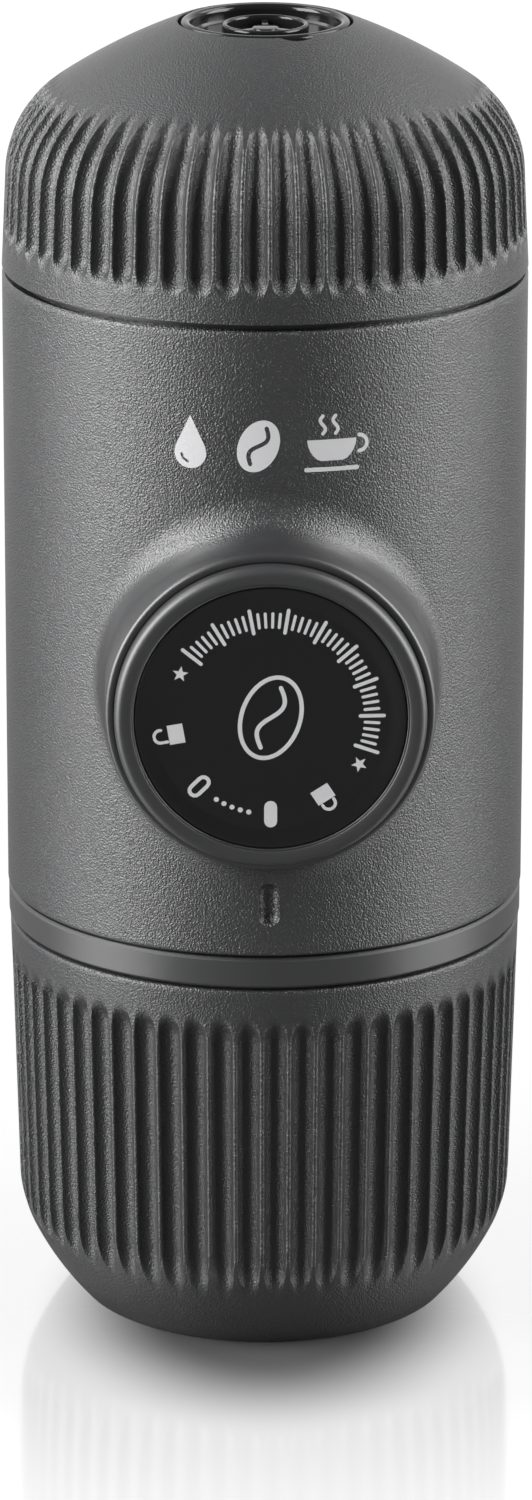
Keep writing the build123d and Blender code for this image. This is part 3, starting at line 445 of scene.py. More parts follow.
def flute_columns():
    """Angles round the body, and the flutes' depth at each."""
    shares, depths = flute_section()
    across = np.concatenate((-shares[-2:0:-1], shares))
    pitch = 2 * pi / flute_count
    angles = [-pi / 2 + pitch * (0.5 + k + t) for k in range(flute_count) for t in across]
    return np.array(angles), np.tile(np.concatenate((depths[-2:0:-1], depths)), flute_count)


def smooth_step(value):
    """Soft step from 0 to 1."""
    value = np.clip(value, 0.0, 1.0)
    return value * value * (3 - 2 * value)


def flute_fade(along, start, run_in, end, run_off):
    """How far the flutes are run in at each distance along the wall, from 0 to 1."""
    fade_in = 1 - smooth_step((start + run_in - along) / run_in)
    fade_off = 1 - smooth_step((along - end + run_off) / run_off)
    return fade_in * fade_off


def fluted(path, fade, turn=0.0):
    """Net of a wall of revolution with flutes pressed into it, square to the wall."""
    angles, depths = flute_columns()
    angles = angles + radians(turn)
    side = normals(path)
    shrink = path[:, 0][:, None] / body_r
    left_out = (1 - fade)[:, None]
    ease = end_ease * left_out + 0.000001
    cut = depths[None, :] - (depths.max() + end_ease) * left_out
    blend = np.clip(0.5 + 0.5 * cut / ease, 0, 1)
    sunk = shrink * (cut * blend + ease * blend * (1 - blend))
    r = path[:, 0][:, None] - side[:, 0][:, None] * sunk
    z = path[:, 1][:, None] - side[:, 1][:, None] * sunk
    return np.stack((r * np.cos(angles), r * np.sin(angles), z), axis=-1), angles


# ---------------------------------------------------------------- cup


def notched(net):
    """The net with the finger notch pressed in beside the foot."""
    turn = radians(notch_angle)
    off_axis = foot_r + foot_gap + notch_reach - notch_r
    reach = np.hypot(net[..., 0] - off_axis * cos(turn), net[..., 1] - off_axis * sin(turn))
    inside = smooth_step(0.5 + (notch_r - reach) / notch_wall)
    bed = foot_high.z - notch_depth
    net[..., 2] -= np.maximum(net[..., 2] - bed, 0.0) * inside
    return net


def make_cup():
    """Fluted cup, upside down over the outlet: side, shoulder and crown, with a bore for the foot."""
    rim = cup_low.z + seam_ease
    side_end = (body_r - cup_side_h * tan(radians(cup_lean)), cup_low.z + cup_side_h)
    shoulder = bend(side_end, cup_lean, cup_shoulder_turn, cup_shoulder_r, 1, 44)
    bore_r = foot_r + foot_gap
    crown_in = bore_r + fine_edge
    crown_turn = degrees(
        acos(cos(radians(cup_shoulder_turn)) - (shoulder[-1][0] - crown_in) / cup_crown_r)
    )
    crown = bend(shoulder[-1], cup_shoulder_turn, crown_turn, cup_crown_r, 1, 180)
    # every fourth row, but all of them near the finger notch
    crown = np.concatenate((crown[:-40:4], crown[-40:]))
    outside = join(line((body_r, rim), side_end, 40), shoulder, crown)
    along = lengths(outside)
    net, angles = fluted(outside, flute_fade(along, *cup_flutes))
    top = crown[-1]
    seat = foot_low.z
    ceiling = seat - floor_t
    inner_start = (side_end[0] - fluted_wall, side_end[1])
    inner = bend(inner_start, cup_lean, cup_shoulder_turn, cup_shoulder_r - fluted_wall, 1, 12)[::-1]
    bore = [(bore_r, z) for z in np.linspace(top[1] - fine_edge, top[1] - cup_bore_h, 8)]
    inside = np.array(
        [tuple(top)]
        + bore
        + [(bore_r, seat), (0.0, seat), (0.0, ceiling), (cup_ceiling_r, ceiling)]
        + [tuple(point) for point in inner]
        + [(inner[-1][0], rim + collar_h), (collar_r, rim + collar_h), (collar_r, rim)]
        + [(body_r - cup_bottom_in, rim), (body_r, rim)]
    )
    nets = [(notched(net), True, False), (notched(turned(inside, angles)), True, False)]
    cup = solid("ribbed_cup", nets, "cup_body", ribbed)
    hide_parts("cup")


# ---------------------------------------------------------------- cup foot


def spoke(turn, half_width, start, end, low, high):
    """Closed bar of a square section, from the axis outwards."""
    along = np.array((cos(turn), sin(turn), 0.0))
    aside = np.array((-sin(turn), cos(turn), 0.0))
    corners = ((-half_width, low), (half_width, low), (half_width, high), (-half_width, high))
    return np.array(
        [[along * r + aside * off + np.array((0.0, 0.0, z)) for r in (start, end)] for off, z in corners]
    )


def make_foot():
    """Gloss foot of the cup, with a round rim, a sunk bed, an inner ring and a hub with three spokes."""
    top = foot_high.z
    bed = top - foot_dish
    edge_r = foot_rim / 2
    ring_top = top - foot_ring_drop
    ring_out = foot_ring_r + foot_ring_w / 2
    ring_in = foot_ring_r - foot_ring_w / 2
    half = foot_ring_w / 2
    hub_top = bed + foot_dish / 2
    inner_r = foot_r - foot_rim
    hub_side = hub_top - foot_hub_edge
    hub_in = foot_hub_r - foot_hub_edge
    section = join(
        np.array([(0.0, foot_low.z), (foot_r, foot_low.z), (foot_r, top - edge_r)]),
        arc((foot_r - edge_r, top - edge_r), edge_r, 0, 180, 19),
        np.array([(inner_r, top - edge_r), (inner_r, bed + foot_cove), (inner_r - foot_cove, bed)]),
        np.array([(inner_r - foot_cove, bed), (ring_out, bed), (ring_out, ring_top - half)]),
        arc((foot_ring_r, ring_top - half), half, 0, 180, 11),
        np.array([(ring_in, ring_top - half), (ring_in, bed)]),
        np.array([(ring_in, bed), (foot_hub_r, bed), (foot_hub_r, hub_side)]),
        arc((hub_in, hub_side), foot_hub_edge, 0, 90, 4),
        np.array([(hub_in, hub_top), (0.0, hub_top)]),
    )
    angles = np.radians(np.arange(0, 360, 2.5))
    nets = [(turned(section, angles), True, False)]
    for k in range(foot_spokes):
        turn = pi / 2 + k * 2 * pi / foot_spokes
        bar = spoke(turn, half, foot_hub_r / 2, foot_ring_r, bed - spoke_sink, hub_top - spoke_drop)
        nets.append((bar, False, True))
    foot = solid("gloss_foot", nets, "cup_stand", gloss)
    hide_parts("cup_foot")


# ---------------------------------------------------------------- tank


def make_tank():
    """Fluted tank: a wall that leans a little, a haunch and a rounded belly down to the flat foot."""
    rim = (tank_top_r, tank_high.z - tank_lip)
    side_end = (tank_top_r - tank_haunch_in, tank_high.z - tank_lean_h)
    lean = degrees(atan2(tank_haunch_in, tank_lean_h))
    haunch = bend(side_end, lean, tank_haunch_turn, tank_haunch_r, -1, 30)
    base_turn = degrees(asin(sin(radians(tank_haunch_turn)) + haunch[-1][1] / tank_belly_r))
    belly = bend(haunch[-1], tank_haunch_turn, base_turn, tank_belly_r, -1, 30)
    lip = (rim[0] - tank_lip_facet, rim[1] - tank_lip_facet)
    outside = join(
        np.array([(rim[0] - edge, rim[1]), lip, (rim[0], rim[1] - edge)]),
        line((rim[0], rim[1] - edge), side_end, 70),
        haunch,
        belly,
    )
    along = lengths(outside)
    net, angles = fluted(outside, flute_fade(along, *tank_flutes), tank_turn)
    bore_r = tank_top_r - fluted_wall
    lip_r = bore_r + fluted_wall / 2
    base = belly[-1]
    inside = np.array(
        [
            base,
            (base[0] - tank_foot_in, 0.0),
            (0.0, 0.0),
            (0.0, tank_floor_t),
            (base[0] - tank_floor_in, tank_floor_t),
            (haunch[-1][0] - tank_haunch_wall, haunch[-1][1] + tank_haunch_rise),
            (side_end[0] - fluted_wall, side_end[1]),
            (bore_r, tank_high.z),
            (lip_r, tank_high.z),
            (lip_r, rim[1]),
            (rim[0] - edge, rim[1]),
        ]
    )
    nets = [(net, True, False), (turned(inside, angles), True, False)]
    tank = solid("ribbed_tank", nets, "tank", ribbed)
    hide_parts("water_tank")


# ---------------------------------------------------------------- body shell


def border_points(half_width, low, high):
    """Points round the front patch from its middle right: (distance round the body, rise from the knob).

    The lower side is finest below the index mark.
    """
    up = np.concatenate((np.linspace(0, high, 40)[:-1], [high]))
    down = np.concatenate((np.linspace(0, low, 34)[:-1], [low]))
    across = np.linspace(half_width, -half_width, 65)
    fine = 3.0
    base = np.concatenate(
        (
            np.linspace(-half_width, -fine, 28)[:-1],
            np.linspace(-fine, fine, 61),
            np.linspace(fine, half_width, 28)[1:],
        )
    )
    right_up = np.column_stack((np.full(len(up), half_width), up))
    top = np.column_stack((across, np.full(len(across), high)))
    left = np.column_stack(
        (np.full(len(up) + len(down) - 1, -half_width), np.concatenate((up[::-1], down[1:])))
    )
    bottom = np.column_stack((base, np.full(len(base), low)))
    right_low = np.column_stack((np.full(len(down), half_width), down[::-1]))
    return np.concatenate((right_up[:-1], top[:-1], left[:-1], bottom[:-1], right_low[:-1]))


def on_body(distance, z, radius):
    """Point of the body's cylinder, at a distance round it from the front."""
    angle = distance / body_r - pi / 2
    return np.array((radius * cos(angle), radius * sin(angle), z))


def on_front(radius, phi, body_radius):
    """Point of a cylinder about Z, at a polar place about the knob's axis."""
    x = radius * cos(phi)
    return np.array((x, -sqrt(body_radius**2 - x * x), knob_z + radius * sin(phi)))


def boss_blend(phi, count):
    """Rolling-ball blend from the boss to the body."""
    reach = boss_r + boss_blend_r
    centre = on_front(reach, phi, body_r + boss_blend_r)
    to_boss = np.array((-cos(phi), 0.0, -sin(phi)))
    to_body = np.array((-centre[0], -centre[1], 0.0)) / (body_r + boss_blend_r)
    span = acos(max(-1.0, min(1.0, float(to_boss @ to_body))))
    points = []
    for t in np.linspace(0, 1, count):
        way = (sin((1 - t) * span) * to_boss + sin(t * span) * to_body) / sin(span)
        points.append(centre + boss_blend_r * way)
    return points


def index_sink(x, z):
    """How far the index mark's round-bottomed groove is pressed in at a place on the shell's front."""
    half = (index_h - index_w) / 2
    rest = max(abs(z - index_z) - half, 0.0)
    off = 2 * sqrt(x * x + rest * rest) / index_w
    return index_depth * sqrt(max(0.0, 1 - off**2))


def shell_column(target, low, high):
    """One line of points of the front patch, from the inner wall over the boss to its border."""
    distance, rise = target
    inner_wall = body_r - wall
    # phi is the direction in which the border's point lies on the unrolled body
    phi = atan2(rise, distance)
    inner_z = shell_low.z if rise <= low else knob_z + high + edge if rise >= high else knob_z + rise
    inner_border = on_body(distance, inner_z, inner_wall)
    bore_inside = on_front(boss_bore_r, phi, inner_wall)
    column = []
    for t in (0.0, 0.34, 0.67):
        mid = inner_border * (1 - t) + bore_inside * t
        mid[1] = -sqrt(inner_wall**2 - mid[0] ** 2)
        column.append(mid)
    column.append(bore_inside)

    def boss_point(radius, y):
        return np.array((radius * cos(phi), -y, knob_z + radius * sin(phi)))

    sharp = fine_edge / 2
    column.append(boss_point(boss_bore_r, boss_front - 1.0))
    column.append(boss_point(boss_bore_r, boss_front - sharp))
    column.append(boss_point(boss_bore_r + sharp / 3, boss_front - sharp / 3))
    column.append(boss_point(boss_bore_r + sharp, boss_front))
    for turn in np.radians(np.linspace(90, 0, 8)):
        edge_at = boss_r - boss_edge_r + boss_edge_r * cos(turn)
        column.append(boss_point(edge_at, boss_front - boss_edge_r * (1 - sin(turn))))
    blend = boss_blend(phi, 26)
    top_of_wall = -blend[0][1]
    for t in (0.33, 0.67):
        column.append(boss_point(boss_r, (boss_front - boss_edge_r) * (1 - t) + top_of_wall * t))
    outside = len(column)
    column.extend(blend)
    foot = blend[-1]
    start = (atan2(foot[1], foot[0]) + pi / 2) * body_r, foot[2]
    end = (distance, knob_z + rise)
    count = 44
    for k in range(1, count + 1):
        t = (k / count) ** 1.25  # closest together beside the boss
        s = start[0] + (end[0] - start[0]) * t
        z = start[1] + (end[1] - start[1]) * t
        column.append(on_body(s, z, body_r))
    # the index mark is pressed into the outside alone
    for point in column[outside:]:
        if point[1] < 0:
            point[1] += index_sink(point[0], point[2])
    return np.array(column)


def make_shell():
    """Body shell: a front patch that runs from the knob's bore over the boss, the back, and two rims."""
    low = shell_low.z + edge - knob_z
    top = shell_high.z - seam_ease
    high = top - edge - knob_z
    half_width = radians(patch_turn) * body_r
    border = border_points(half_width, low, high)
    patch = np.array([shell_column(target, low, high) for target in border]).transpose(1, 0, 2)

    # the back: closed sections from the front patch's right border round to its left one
    rises = border[np.abs(border[:, 0] - half_width) < 1e-6][:, 1]
    rises = np.unique(np.round(rises, 9))
    inner_z = [shell_low.z] + [knob_z + rise for rise in rises[1:-1]] + [top]
    angles = np.linspace(half_width / body_r, 2 * pi - half_width / body_r, 120) - pi / 2
    outer = np.array([(body_r, knob_z + rise) for rise in rises])
    inner = np.array([(body_r - wall, z) for z in inner_z])
    back_out = turned(outer, angles)
    back_in = turned(inner, angles)

    # the two rims, all the way round
    def rim(border_rise, z):
        across = np.unique(np.round(border[np.abs(border[:, 1] - border_rise) < 1e-6][:, 0], 9))
        front = across / body_r - pi / 2
        round_all = np.concatenate((front[:-1], angles[:-1]))
        step = 0.3 * edge
        up = 1 if z > knob_z else -1
        section = np.array(
            [
                (body_r, knob_z + border_rise),
                (body_r - step / 2, knob_z + border_rise + up * step * 1.2),
                (body_r - edge + step / 2, z - up * step * 0.5),
                (body_r - edge, z),
                (body_r - edge - seam_lean, z - up * seam_sink),
                (body_r - wall + seam_lean, z - up * seam_sink),
                (body_r - wall, z),
            ]
        )
        return turned(section, round_all)

    nets = [
        (patch, True, False),
        (back_out, False, False),
        (back_in, False, False),
        (rim(high, top), True, False),
        (rim(low, shell_low.z), True, False),
    ]
    shell = solid("grained_shell", nets, "main_body", grained)
    # the boss is smooth, and the grain comes in outside it
    fade = shell.data.attributes.new("grain", "FLOAT", "POINT")
    amounts = []
    for vertex in shell.data.vertices:
        x, y, z = vertex.co / MM
        off = sqrt(x * x + (z - knob_z) ** 2)
        near = (off - boss_r - grain_gap) / grain_run_in if y < 0 else 1.0
        amounts.append(max(0.0, min(1.0, near)))
    fade.data.foreach_set("value", amounts)
    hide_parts("body_shell")


# ---------------------------------------------------------------- knob and dial


def turned_front(path, angles):
    """Net of a path in (r, distance in front of the body's axis) turned about the knob's axis."""
    r = path[:, 0][:, None]
    y = np.broadcast_to(-path[:, 1][:, None], (len(path), len(angles)))
    return np.stack((r * np.cos(angles), y, knob_z + r * np.sin(angles)), axis=-1)


def make_knob():
    """Pump knob: a deep cup with a round rim, a thin lip round the dial and two bayonet lugs."""
    recess_r = dial_r + dial_gap
    screw_r = screw_head_r + dial_gap
    inside_r = knob_r - knob_wall
    lip_top = knob_face - knob_lip_drop
    wall_back = dial_back - knob_front_wall
    bearing = rod_tip - 0.02  # the rod's tip stands a hair above the bottom of the screw's pocket
    tail = -knob_tail
    bead_r = knob_r - knob_bead
    turns = np.linspace(0, pi / 2, 9)
    slope_r = bead_r - (bead_r - recess_r - 2 * knob_lip) * np.sin(turns)
    slope_at = knob_face - (knob_face - lip_top) * (1 - np.cos(turns))
    section = join(
        np.array([(inside_r, tail), (knob_r, tail), (knob_r, knob_face - knob_bead)]),
        arc((bead_r, knob_face - knob_bead), knob_bead, 0, 90, 14),
        np.column_stack((slope_r, slope_at)),
        arc((recess_r + knob_lip, lip_top), knob_lip, 20, 180, 9),
        np.array([(recess_r, lip_top), (recess_r, dial_back), (screw_r, dial_back)]),
        np.array([(screw_r, dial_back), (screw_r, bearing), (rod_r, bearing)]),
        np.array([(rod_r, bearing), (rod_r, wall_back), (inside_r, wall_back)]),
    )
    angles = np.radians(np.arange(0, 360, 1.5))
    nets = [(turned_front(section, angles), True, True)]
    for middle in (90, 270):
        sector = np.radians(np.linspace(middle - lug_angle / 2, middle + lug_angle / 2, 9))
        lug = np.array(
            [
                (knob_r - lug_h, tail),
                (knob_r + lug_h, tail),
                (knob_r + lug_h, tail + lug_len),
                (knob_r - lug_h, tail + lug_len),
            ]
        )
        nets.append((turned_front(lug, sector), False, True))
    knob = solid("bead_knob", nets, "knob", satin)
    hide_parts("piston_knob")


def make_dial():
    """Dial plate with a soft border round a sunk field."""
    level = dial_front - dial_dish
    slope = np.linspace(0, 1, 24)
    slope_r = dial_r - dial_edge - dial_border * slope
    section = join(
        np.array([(0.0, dial_back), (dial_r, dial_back), (dial_r, dial_front - dial_edge)]),
        arc((dial_r - dial_edge, dial_front - dial_edge), dial_edge, 0, 90, 6),
        np.column_stack((slope_r, dial_front - dial_dish * smooth_step(slope))),
        np.array([(slope_r[-1], level), (0.0, level)]),
    )
    nets = [(turned_front(section, np.radians(np.arange(0, 360, 1.5))), True, False)]
    dial = solid("dial", nets, "knob", dial_black)
    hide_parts("dial_plate")


# ---------------------------------------------------------------- printed marks

# The outlines' numbers are millimetres on the surface, and degrees where they place or turn a mark.


def ellipse(x, y, half_width, half_height, lean=0.0, count=48):
    """Outline of an ellipse leaning by an angle in degrees."""
    turns = np.linspace(0, 2 * pi, count, endpoint=False)
    points = np.column_stack((half_width * np.cos(turns), half_height * np.sin(turns)))
    return moved(points, x, y, lean)


def moved(points, x, y, lean=0.0):
    """Points turned by an angle in degrees, then moved."""
    c, s = cos(radians(lean)), sin(radians(lean))
    points = np.asarray(points, dtype=float)
    u, v = points[:, 0], points[:, 1]
    return np.column_stack((u * c - v * s + x, u * s + v * c + y))


def stroke(points, width):
    """Outline of a line with round ends."""
    points = np.asarray(points, dtype=float)
    way = np.gradient(points, axis=0)
    way /= np.linalg.norm(way, axis=1)[:, None]
    aside = np.column_stack((-way[:, 1], way[:, 0])) * width / 2
    turns = np.linspace(0, pi, 7)[1:-1, None]
    end = points[-1] + np.cos(turns) * aside[-1] + np.sin(turns) * way[-1] * width / 2
    start = points[0] - np.cos(turns) * aside[0] - np.sin(turns) * way[0] * width / 2
    return np.concatenate((points + aside, end, (points - aside)[::-1], start))


def star(x, y, radius, lean):
    """Outline of a star with five points."""
    corners = np.arange(10)
    turns = np.radians(90 + lean + corners * 36)
    reach = np.where(corners % 2 == 0, radius, radius * 0.42)
    return np.column_stack((x + reach * np.cos(turns), y + reach * np.sin(turns)))


def bean(x, y, half_width, half_height, lean, line_width, filled):
    """Coffee bean with its curved seam. Where not filled, only its outline and seam."""
    reach = 0.72  # share of the half height that the seam reaches
    rise = np.linspace(-reach, reach, 25)
    seam = np.column_stack((0.28 * half_width * np.sin(rise * pi / reach), rise * half_height))
    outlines = [ellipse(x, y, half_width, half_height, lean)]
    outlines.append(moved(stroke(seam, line_width), x, y, lean))
    if not filled:
        outlines.append(ellipse(x, y, half_width - line_width, half_height - line_width, lean))
    return outlines


def padlock(angle, lean, opened):
    """Padlock on the dial's ring, its shackle shut or lifted out at one side."""
    body = np.array([(-1.15, -1.5), (1.15, -1.5), (1.15, 0.3), (-1.15, 0.3)])
    turns = np.linspace(0, pi, 15)
    lift = 0.55 if opened else 0.0
    bow = np.column_stack((0.75 * np.cos(turns), 0.7 + lift + 0.7 * np.sin(turns)))
    shackle = np.concatenate(([(0.75, 0.5 + lift)], bow, [(-0.75, 0.5)]))
    x, y = ring_place(angle)
    return [moved(body, x, y, lean), moved(stroke(shackle, 0.36), x, y, lean)]


def printed(name, outlines, surface, step, body, material):
    """Thin print of filled outlines on a surface, cut into slices of the step's width if one is given."""
    curve = bpy.data.curves.new(name, "CURVE")
    curve.dimensions = "2D"
    curve.fill_mode = "BOTH"
    curve.extrude = print_t
    for outline in outlines:
        spline = curve.splines.new("POLY")
        spline.points.add(len(outline) - 1)
        spline.use_cyclic_u = True
        flat = np.column_stack((outline, np.zeros(len(outline)), np.ones(len(outline))))
        spline.points.foreach_set("co", flat.ravel())
    holder = bpy.data.objects.new(name, curve)
    mesh = bpy.data.meshes.new_from_object(holder)
    bpy.data.objects.remove(holder)
    work = bmesh.new()
    work.from_mesh(mesh)
    bmesh.ops.remove_doubles(work, verts=work.verts, dist=0.0005)
    if step:
        reach = max(np.abs(outline[:, 0]).max() for outline in outlines)
        for u in np.arange(-reach + step / 2, reach, step):
            geometry = work.verts[:] + work.edges[:] + work.faces[:]
            plane = {"plane_co": (u, 0, 0), "plane_no": (1, 0, 0)}
            bmesh.ops.bisect_plane(work, geom=geometry, dist=0.0001, **plane)
    for vertex in work.verts:
        vertex.co = Vector(surface(*vertex.co)) * MM
    bmesh.ops.recalc_face_normals(work, faces=work.faces)
    work.to_mesh(mesh)
    work.free()
    mesh.shade_smooth()
    mesh.set_sharp_from_angle(angle=radians(sharp_turn))
    piece = bpy.data.objects.new(name, mesh)
    bpy.context.scene.collection.objects.link(piece)
    mesh.materials.clear()
    mesh.materials.append(material)
    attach(piece, body)


def on_dial(u, v, lift):
    """Place in millimetres of a point of the print on the dial's sunk field."""
    return u, -(dial_front - dial_dish + lift), knob_z + v


def on_shell(u, v, lift):
    """Place in millimetres of a point of the print round the body's front."""
    angle = u / body_r - pi / 2
    return (body_r + lift) * cos(angle), (body_r + lift) * sin(angle), mark_z + v


def ring_place(angle):
    """Place on the dial's ring of marks, at an angle in degrees from its right."""
    return dial_ring_r * cos(radians(angle)), dial_ring_r * sin(radians(angle))


def make_dial_marks():
    """Shut and open marks with dots between, padlocks, stars, a scale of ticks and a coffee bean."""

    def bar(half, width):
        return stroke([(0.0, -half), (0.0, 0.0), (0.0, half)], width)

    outlines = [moved(bar(0.85, 1.5), *ring_place(270))]
    for width in (1.7, 0.8):
        outlines.append(moved(bar(0.7, width), *ring_place(225), -45))
    for angle in np.linspace(237.5, 257.5, 5):
        outlines.append(ellipse(*ring_place(angle), 0.3, 0.3, 0, 16))
    outlines.append(star(*ring_place(153), 0.95, 63))
    outlines.append(star(*ring_place(-29), 0.95, -119))
    for number, angle in enumerate(range(141, -23, -4)):
        tick = bar(0.8, 0.34) if number % 5 else bar(1.35, 0.42)
        outlines.append(moved(tick, *ring_place(angle), angle - 90))
    outlines += padlock(190, 100, True)
    outlines += padlock(303, -147, False)
    outlines += bean(0.0, 0.0, 3.6, 5.2, -18, 0.5, False)
    printed("dial_marks", outlines, on_dial, 0, "knob", ink)


def make_front_marks():
    """Row of pictograms on the body's front: a drop of water, a coffee bean and a cup."""
    drop_x, bean_x, cup_x = -9.2, -1.3, 7.2
    turns = np.linspace(0, pi, 15)
    belly = np.column_stack((1.9 * np.cos(-turns), -1.0 + 1.9 * np.sin(-turns)))
    right = [(0.55, 2.3), (1.2, 0.9), (1.75, -0.25)]
    left = [(-x, y) for x, y in right[::-1]]
    glint = stroke([(-1.05, -1.2), (-0.85, -1.75), (-0.3, -2.1)], 0.3)
    drop = np.concatenate(([(0.0, 3.4)], right, belly, left))
    outlines = [moved(drop, drop_x, 0.0), moved(glint, drop_x, 0.0)]
    outlines += bean(bean_x, 0.0, 2.3, 3.2, -24, 0.5, True)
    bowl = np.column_stack((2.9 * np.cos(-turns), 0.6 + 2.9 * np.sin(-turns)))
    bowl[:, 1] = np.maximum(bowl[:, 1], -1.9)
    outlines.append(moved(bowl, cup_x, 0.0))
    outlines.append(moved(stroke([(-3.0, -2.9), (0.0, -2.9), (3.0, -2.9)], 0.5), cup_x, 0.0))
    handle = np.column_stack((3.25 + 0.95 * np.sin(turns), -0.05 - 0.95 * np.cos(turns)))
    outlines.append(moved(stroke(handle, 0.45), cup_x, 0.0))
    rise = np.linspace(0, 1, 13)
    for x in (-1.1, 0.4):
        steam = np.column_stack((x + 0.3 * np.sin(rise * 2 * pi), 1.3 + 2.1 * rise))
        outlines.append(moved(stroke(steam, 0.4), cup_x, 0.0))
    printed("front_marks", outlines, on_shell, 0.5, "main_body", ink)


# ---------------------------------------------------------------- stage, light and camera


def light_panel(name, place, aim, width, tall, radiance):
    """Soft lamp at a place in metres, turned to a point that it aims at."""
    lamp = bpy.data.lights.new(name, "AREA")
    lamp.shape = "RECTANGLE"
    lamp.size = width
    lamp.size_y = tall
    lamp.energy = radiance * pi * width * tall
    holder = bpy.data.objects.new(name, lamp)
    bpy.context.scene.collection.objects.link(holder)
    holder.location = place
    holder.rotation_euler = (Vector(place) - Vector(aim)).to_track_quat("Z", "Y").to_euler()
    holder.visible_camera = False


def make_lights():
    """Two tall softboxes beside the object and two panels high up behind it."""
    height = 0.50
    light_panel("left_softbox", (-0.713, -0.232, height), (0, 0, height), 0.56, 0.96, 9.8)
    light_panel("right_softbox", (0.738, -0.13, height), (0, 0, height), 0.56, 0.96, 6.8)
    for name, side in (("left_top_panel", -1), ("right_top_panel", 1)):
        light_panel(name, (side * 0.56, 0.36, 0.80), (0, 0, 0.14), 0.36, 0.5, 3.6)


def ramp(tree, value, stops):
    """Grey value through stops given as (position, value)."""
    node = tree.nodes.new("ShaderNodeValToRGB")
    node.color_ramp.interpolation = "EASE"
    elements = node.color_ramp.elements
    while len(elements) < len(stops):
        elements.new(0.5)
    for element, (position, level) in zip(elements, stops):
        element.position = position
        element.color = (level, level, level, 1.0)
    tree.links.new(value, node.inputs["Fac"])
    return node.outputs["Color"]


def background_rays(tree, mirrored):
    """1 for rays from the camera or through glass, and the given share for mirrored rays."""
    rays = tree.nodes.new("ShaderNodeLightPath").outputs
    seen = combined(tree, "MAXIMUM", rays["Is Camera Ray"], rays["Is Transmission Ray"])
    return combined(tree, "MAXIMUM", seen, combined(tree, "MULTIPLY", rays["Is Glossy Ray"], mirrored))


def make_world():
    """White to the camera, through glass, and to mirrored rays straight to the back.

    To all else a studio with a pale back, grey sides, and a dark front and top.
    """
    world = bpy.data.worlds.new("studio")
    bpy.context.scene.world = world
    world.use_nodes = True
    tree = world.node_tree
    tree.nodes.clear()
    output = tree.nodes.new("ShaderNodeOutputWorld")
    place = tree.nodes.new("ShaderNodeTexCoord")
    parts = tree.nodes.new("ShaderNodeSeparateXYZ")
    tree.links.new(place.outputs["Generated"], parts.inputs["Vector"])
    depth = ramp(
        tree,
        spread(tree, parts.outputs["Y"], -1.0, 1.0, 0.0, 1.0),
        ((0.0, 0.05), (0.3, 0.08), (0.5, 0.3), (0.75, 0.6), (0.96, 0.85)),
    )
    top = ramp(tree, parts.outputs["Z"], ((0.5, 1.0), (1.0, 0.2)))
    most = tree.nodes.new("ShaderNodeMix")
    most.data_type = "RGBA"
    most.blend_type = "MULTIPLY"
    most.inputs["Factor"].default_value = 1.0
    tree.links.new(depth, most.inputs["A"])
    tree.links.new(top, most.inputs["B"])
    studio = tree.nodes.new("ShaderNodeBackground")
    studio.inputs["Strength"].default_value = 1.0
    tree.links.new(most.outputs["Result"], studio.inputs["Color"])
    plain = tree.nodes.new("ShaderNodeBackground")
    plain.inputs["Color"].default_value = (1.0, 1.0, 1.0, 1.0)
    plain.inputs["Strength"].default_value = 1.0
    back = spread(tree, parts.outputs["Y"], 0.86, 0.97, 0.0, 1.0, "SMOOTHSTEP")
    mix = tree.nodes.new("ShaderNodeMixShader")
    tree.links.new(background_rays(tree, back), mix.inputs["Fac"])
    tree.links.new(studio.outputs["Background"], mix.inputs[1])
    tree.links.new(plain.outputs["Background"], mix.inputs[2])
    tree.links.new(mix.outputs["Shader"], output.inputs["Surface"])


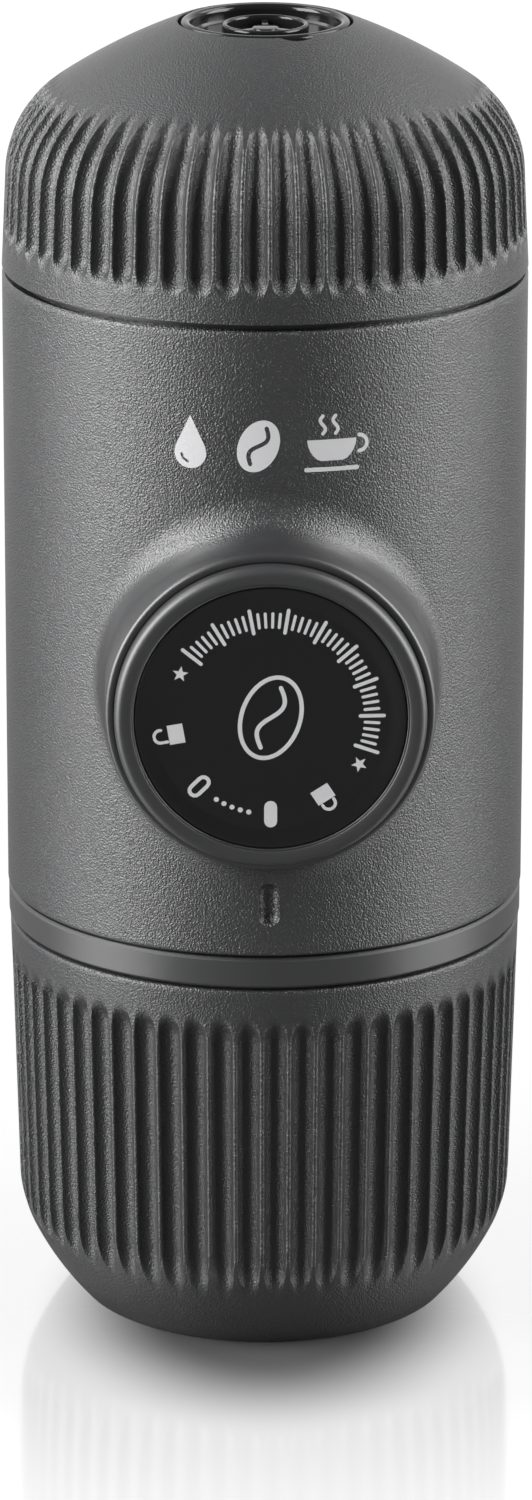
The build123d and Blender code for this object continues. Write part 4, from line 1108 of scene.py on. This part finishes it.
def make_floor():
    """Glossy floor, lifted to white for the same rays as the world, less so in a painted contact shadow,
    a fixed oval round where the object stands.
    """
    material, tree, shader, place = new_material("studio_floor")
    greys = tint(tree, noise(tree, place, 4.0, 2.0), (0.10, 0.10, 0.10), (0.12, 0.12, 0.12))
    tree.links.new(greys, shader.inputs["Base Color"])
    shader.inputs["Roughness"].default_value = 0.1
    shader.inputs["IOR"].default_value = 2.4
    # painted soft contact shadow: a fixed oval on the floor, reaching out in front of the object, in
    # which the lift to white fades away
    oval_x, oval_y, oval_forward = 0.0256, 0.036, 0.010
    away = tree.nodes.new("ShaderNodeVectorMath")
    away.operation = "MULTIPLY_ADD"
    away.inputs[1].default_value = (1 / oval_x, 1 / oval_y, 0.0)
    away.inputs[2].default_value = (0.0, oval_forward / oval_y, 0.0)
    tree.links.new(place, away.inputs[0])
    oval = tree.nodes.new("ShaderNodeVectorMath")
    oval.operation = "LENGTH"
    tree.links.new(away.outputs["Vector"], oval.inputs[0])
    # share of the lift left by the painted contact shadow: 0 at the oval's middle, 1 outside it
    clear = spread(tree, oval.outputs["Value"], 0.50, 1.15, 0.0, 1.0, "SMOOTHSTEP")
    # the mirrored object fades out towards the front
    parts = tree.nodes.new("ShaderNodeSeparateXYZ")
    tree.links.new(place, parts.inputs["Vector"])
    front = spread(tree, parts.outputs["Y"], -0.038, -0.085, 0.61, 0.82)
    lift = combined(tree, "MULTIPLY", clear, front)
    behind = spread(tree, parts.outputs["Y"], 0.3, 0.8, 0.0, 1.0)
    shader.inputs["Emission Color"].default_value = (1.0, 1.0, 1.0, 1.0)
    glow = combined(tree, "MULTIPLY", background_rays(tree, behind), lift)
    tree.links.new(glow, shader.inputs["Emission Strength"])
    half = 3.0
    sink = 0.00005  # keeps the floor's face off the object's flat foot
    corners = [(-half, -half, 0), (half, -half, 0), (half, half, 0), (-half, half, 0)]
    mesh = bpy.data.meshes.new("floor")
    mesh.from_pydata(corners, [], [(0, 1, 2, 3)])
    floor = bpy.data.objects.new("floor", mesh)
    bpy.context.scene.collection.objects.link(floor)
    floor.location.z = -sink
    mesh.materials.append(material)


def make_camera():
    """Camera 790 mm from the body's axis and a little to its left, looking down at it."""
    distance = 0.790
    height = 0.3201
    to_left = radians(1.03)
    roll = radians(0.07)
    down = radians(17.73)
    image_height = 1500
    focal_pixels = 6886
    axis_pixels = 1.5  # the body's axis lies this far left of the picture's middle
    data = bpy.data.cameras.new("camera")
    data.sensor_width = 36.0
    data.lens = data.sensor_width * focal_pixels / image_height
    data.clip_start = 0.05
    data.clip_end = 20.0
    camera = bpy.data.objects.new("camera", data)
    bpy.context.scene.collection.objects.link(camera)
    camera.location = (-distance * sin(to_left), -distance * cos(to_left), height)
    turn = (
        Matrix.Rotation(-to_left - axis_pixels / focal_pixels, 3, "Z")
        @ Matrix.Rotation(pi / 2 - down, 3, "X")
        @ Matrix.Rotation(roll, 3, "Z")
    )
    camera.rotation_euler = turn.to_euler()
    bpy.context.scene.camera = camera


dress_cad_nodes()
make_cup()
make_tank()
make_shell()
make_foot()
make_knob()
make_dial()
make_dial_marks()
make_front_marks()
make_world()
make_floor()
make_lights()
make_camera()
bpy.context.scene.view_settings.view_transform = "Standard"
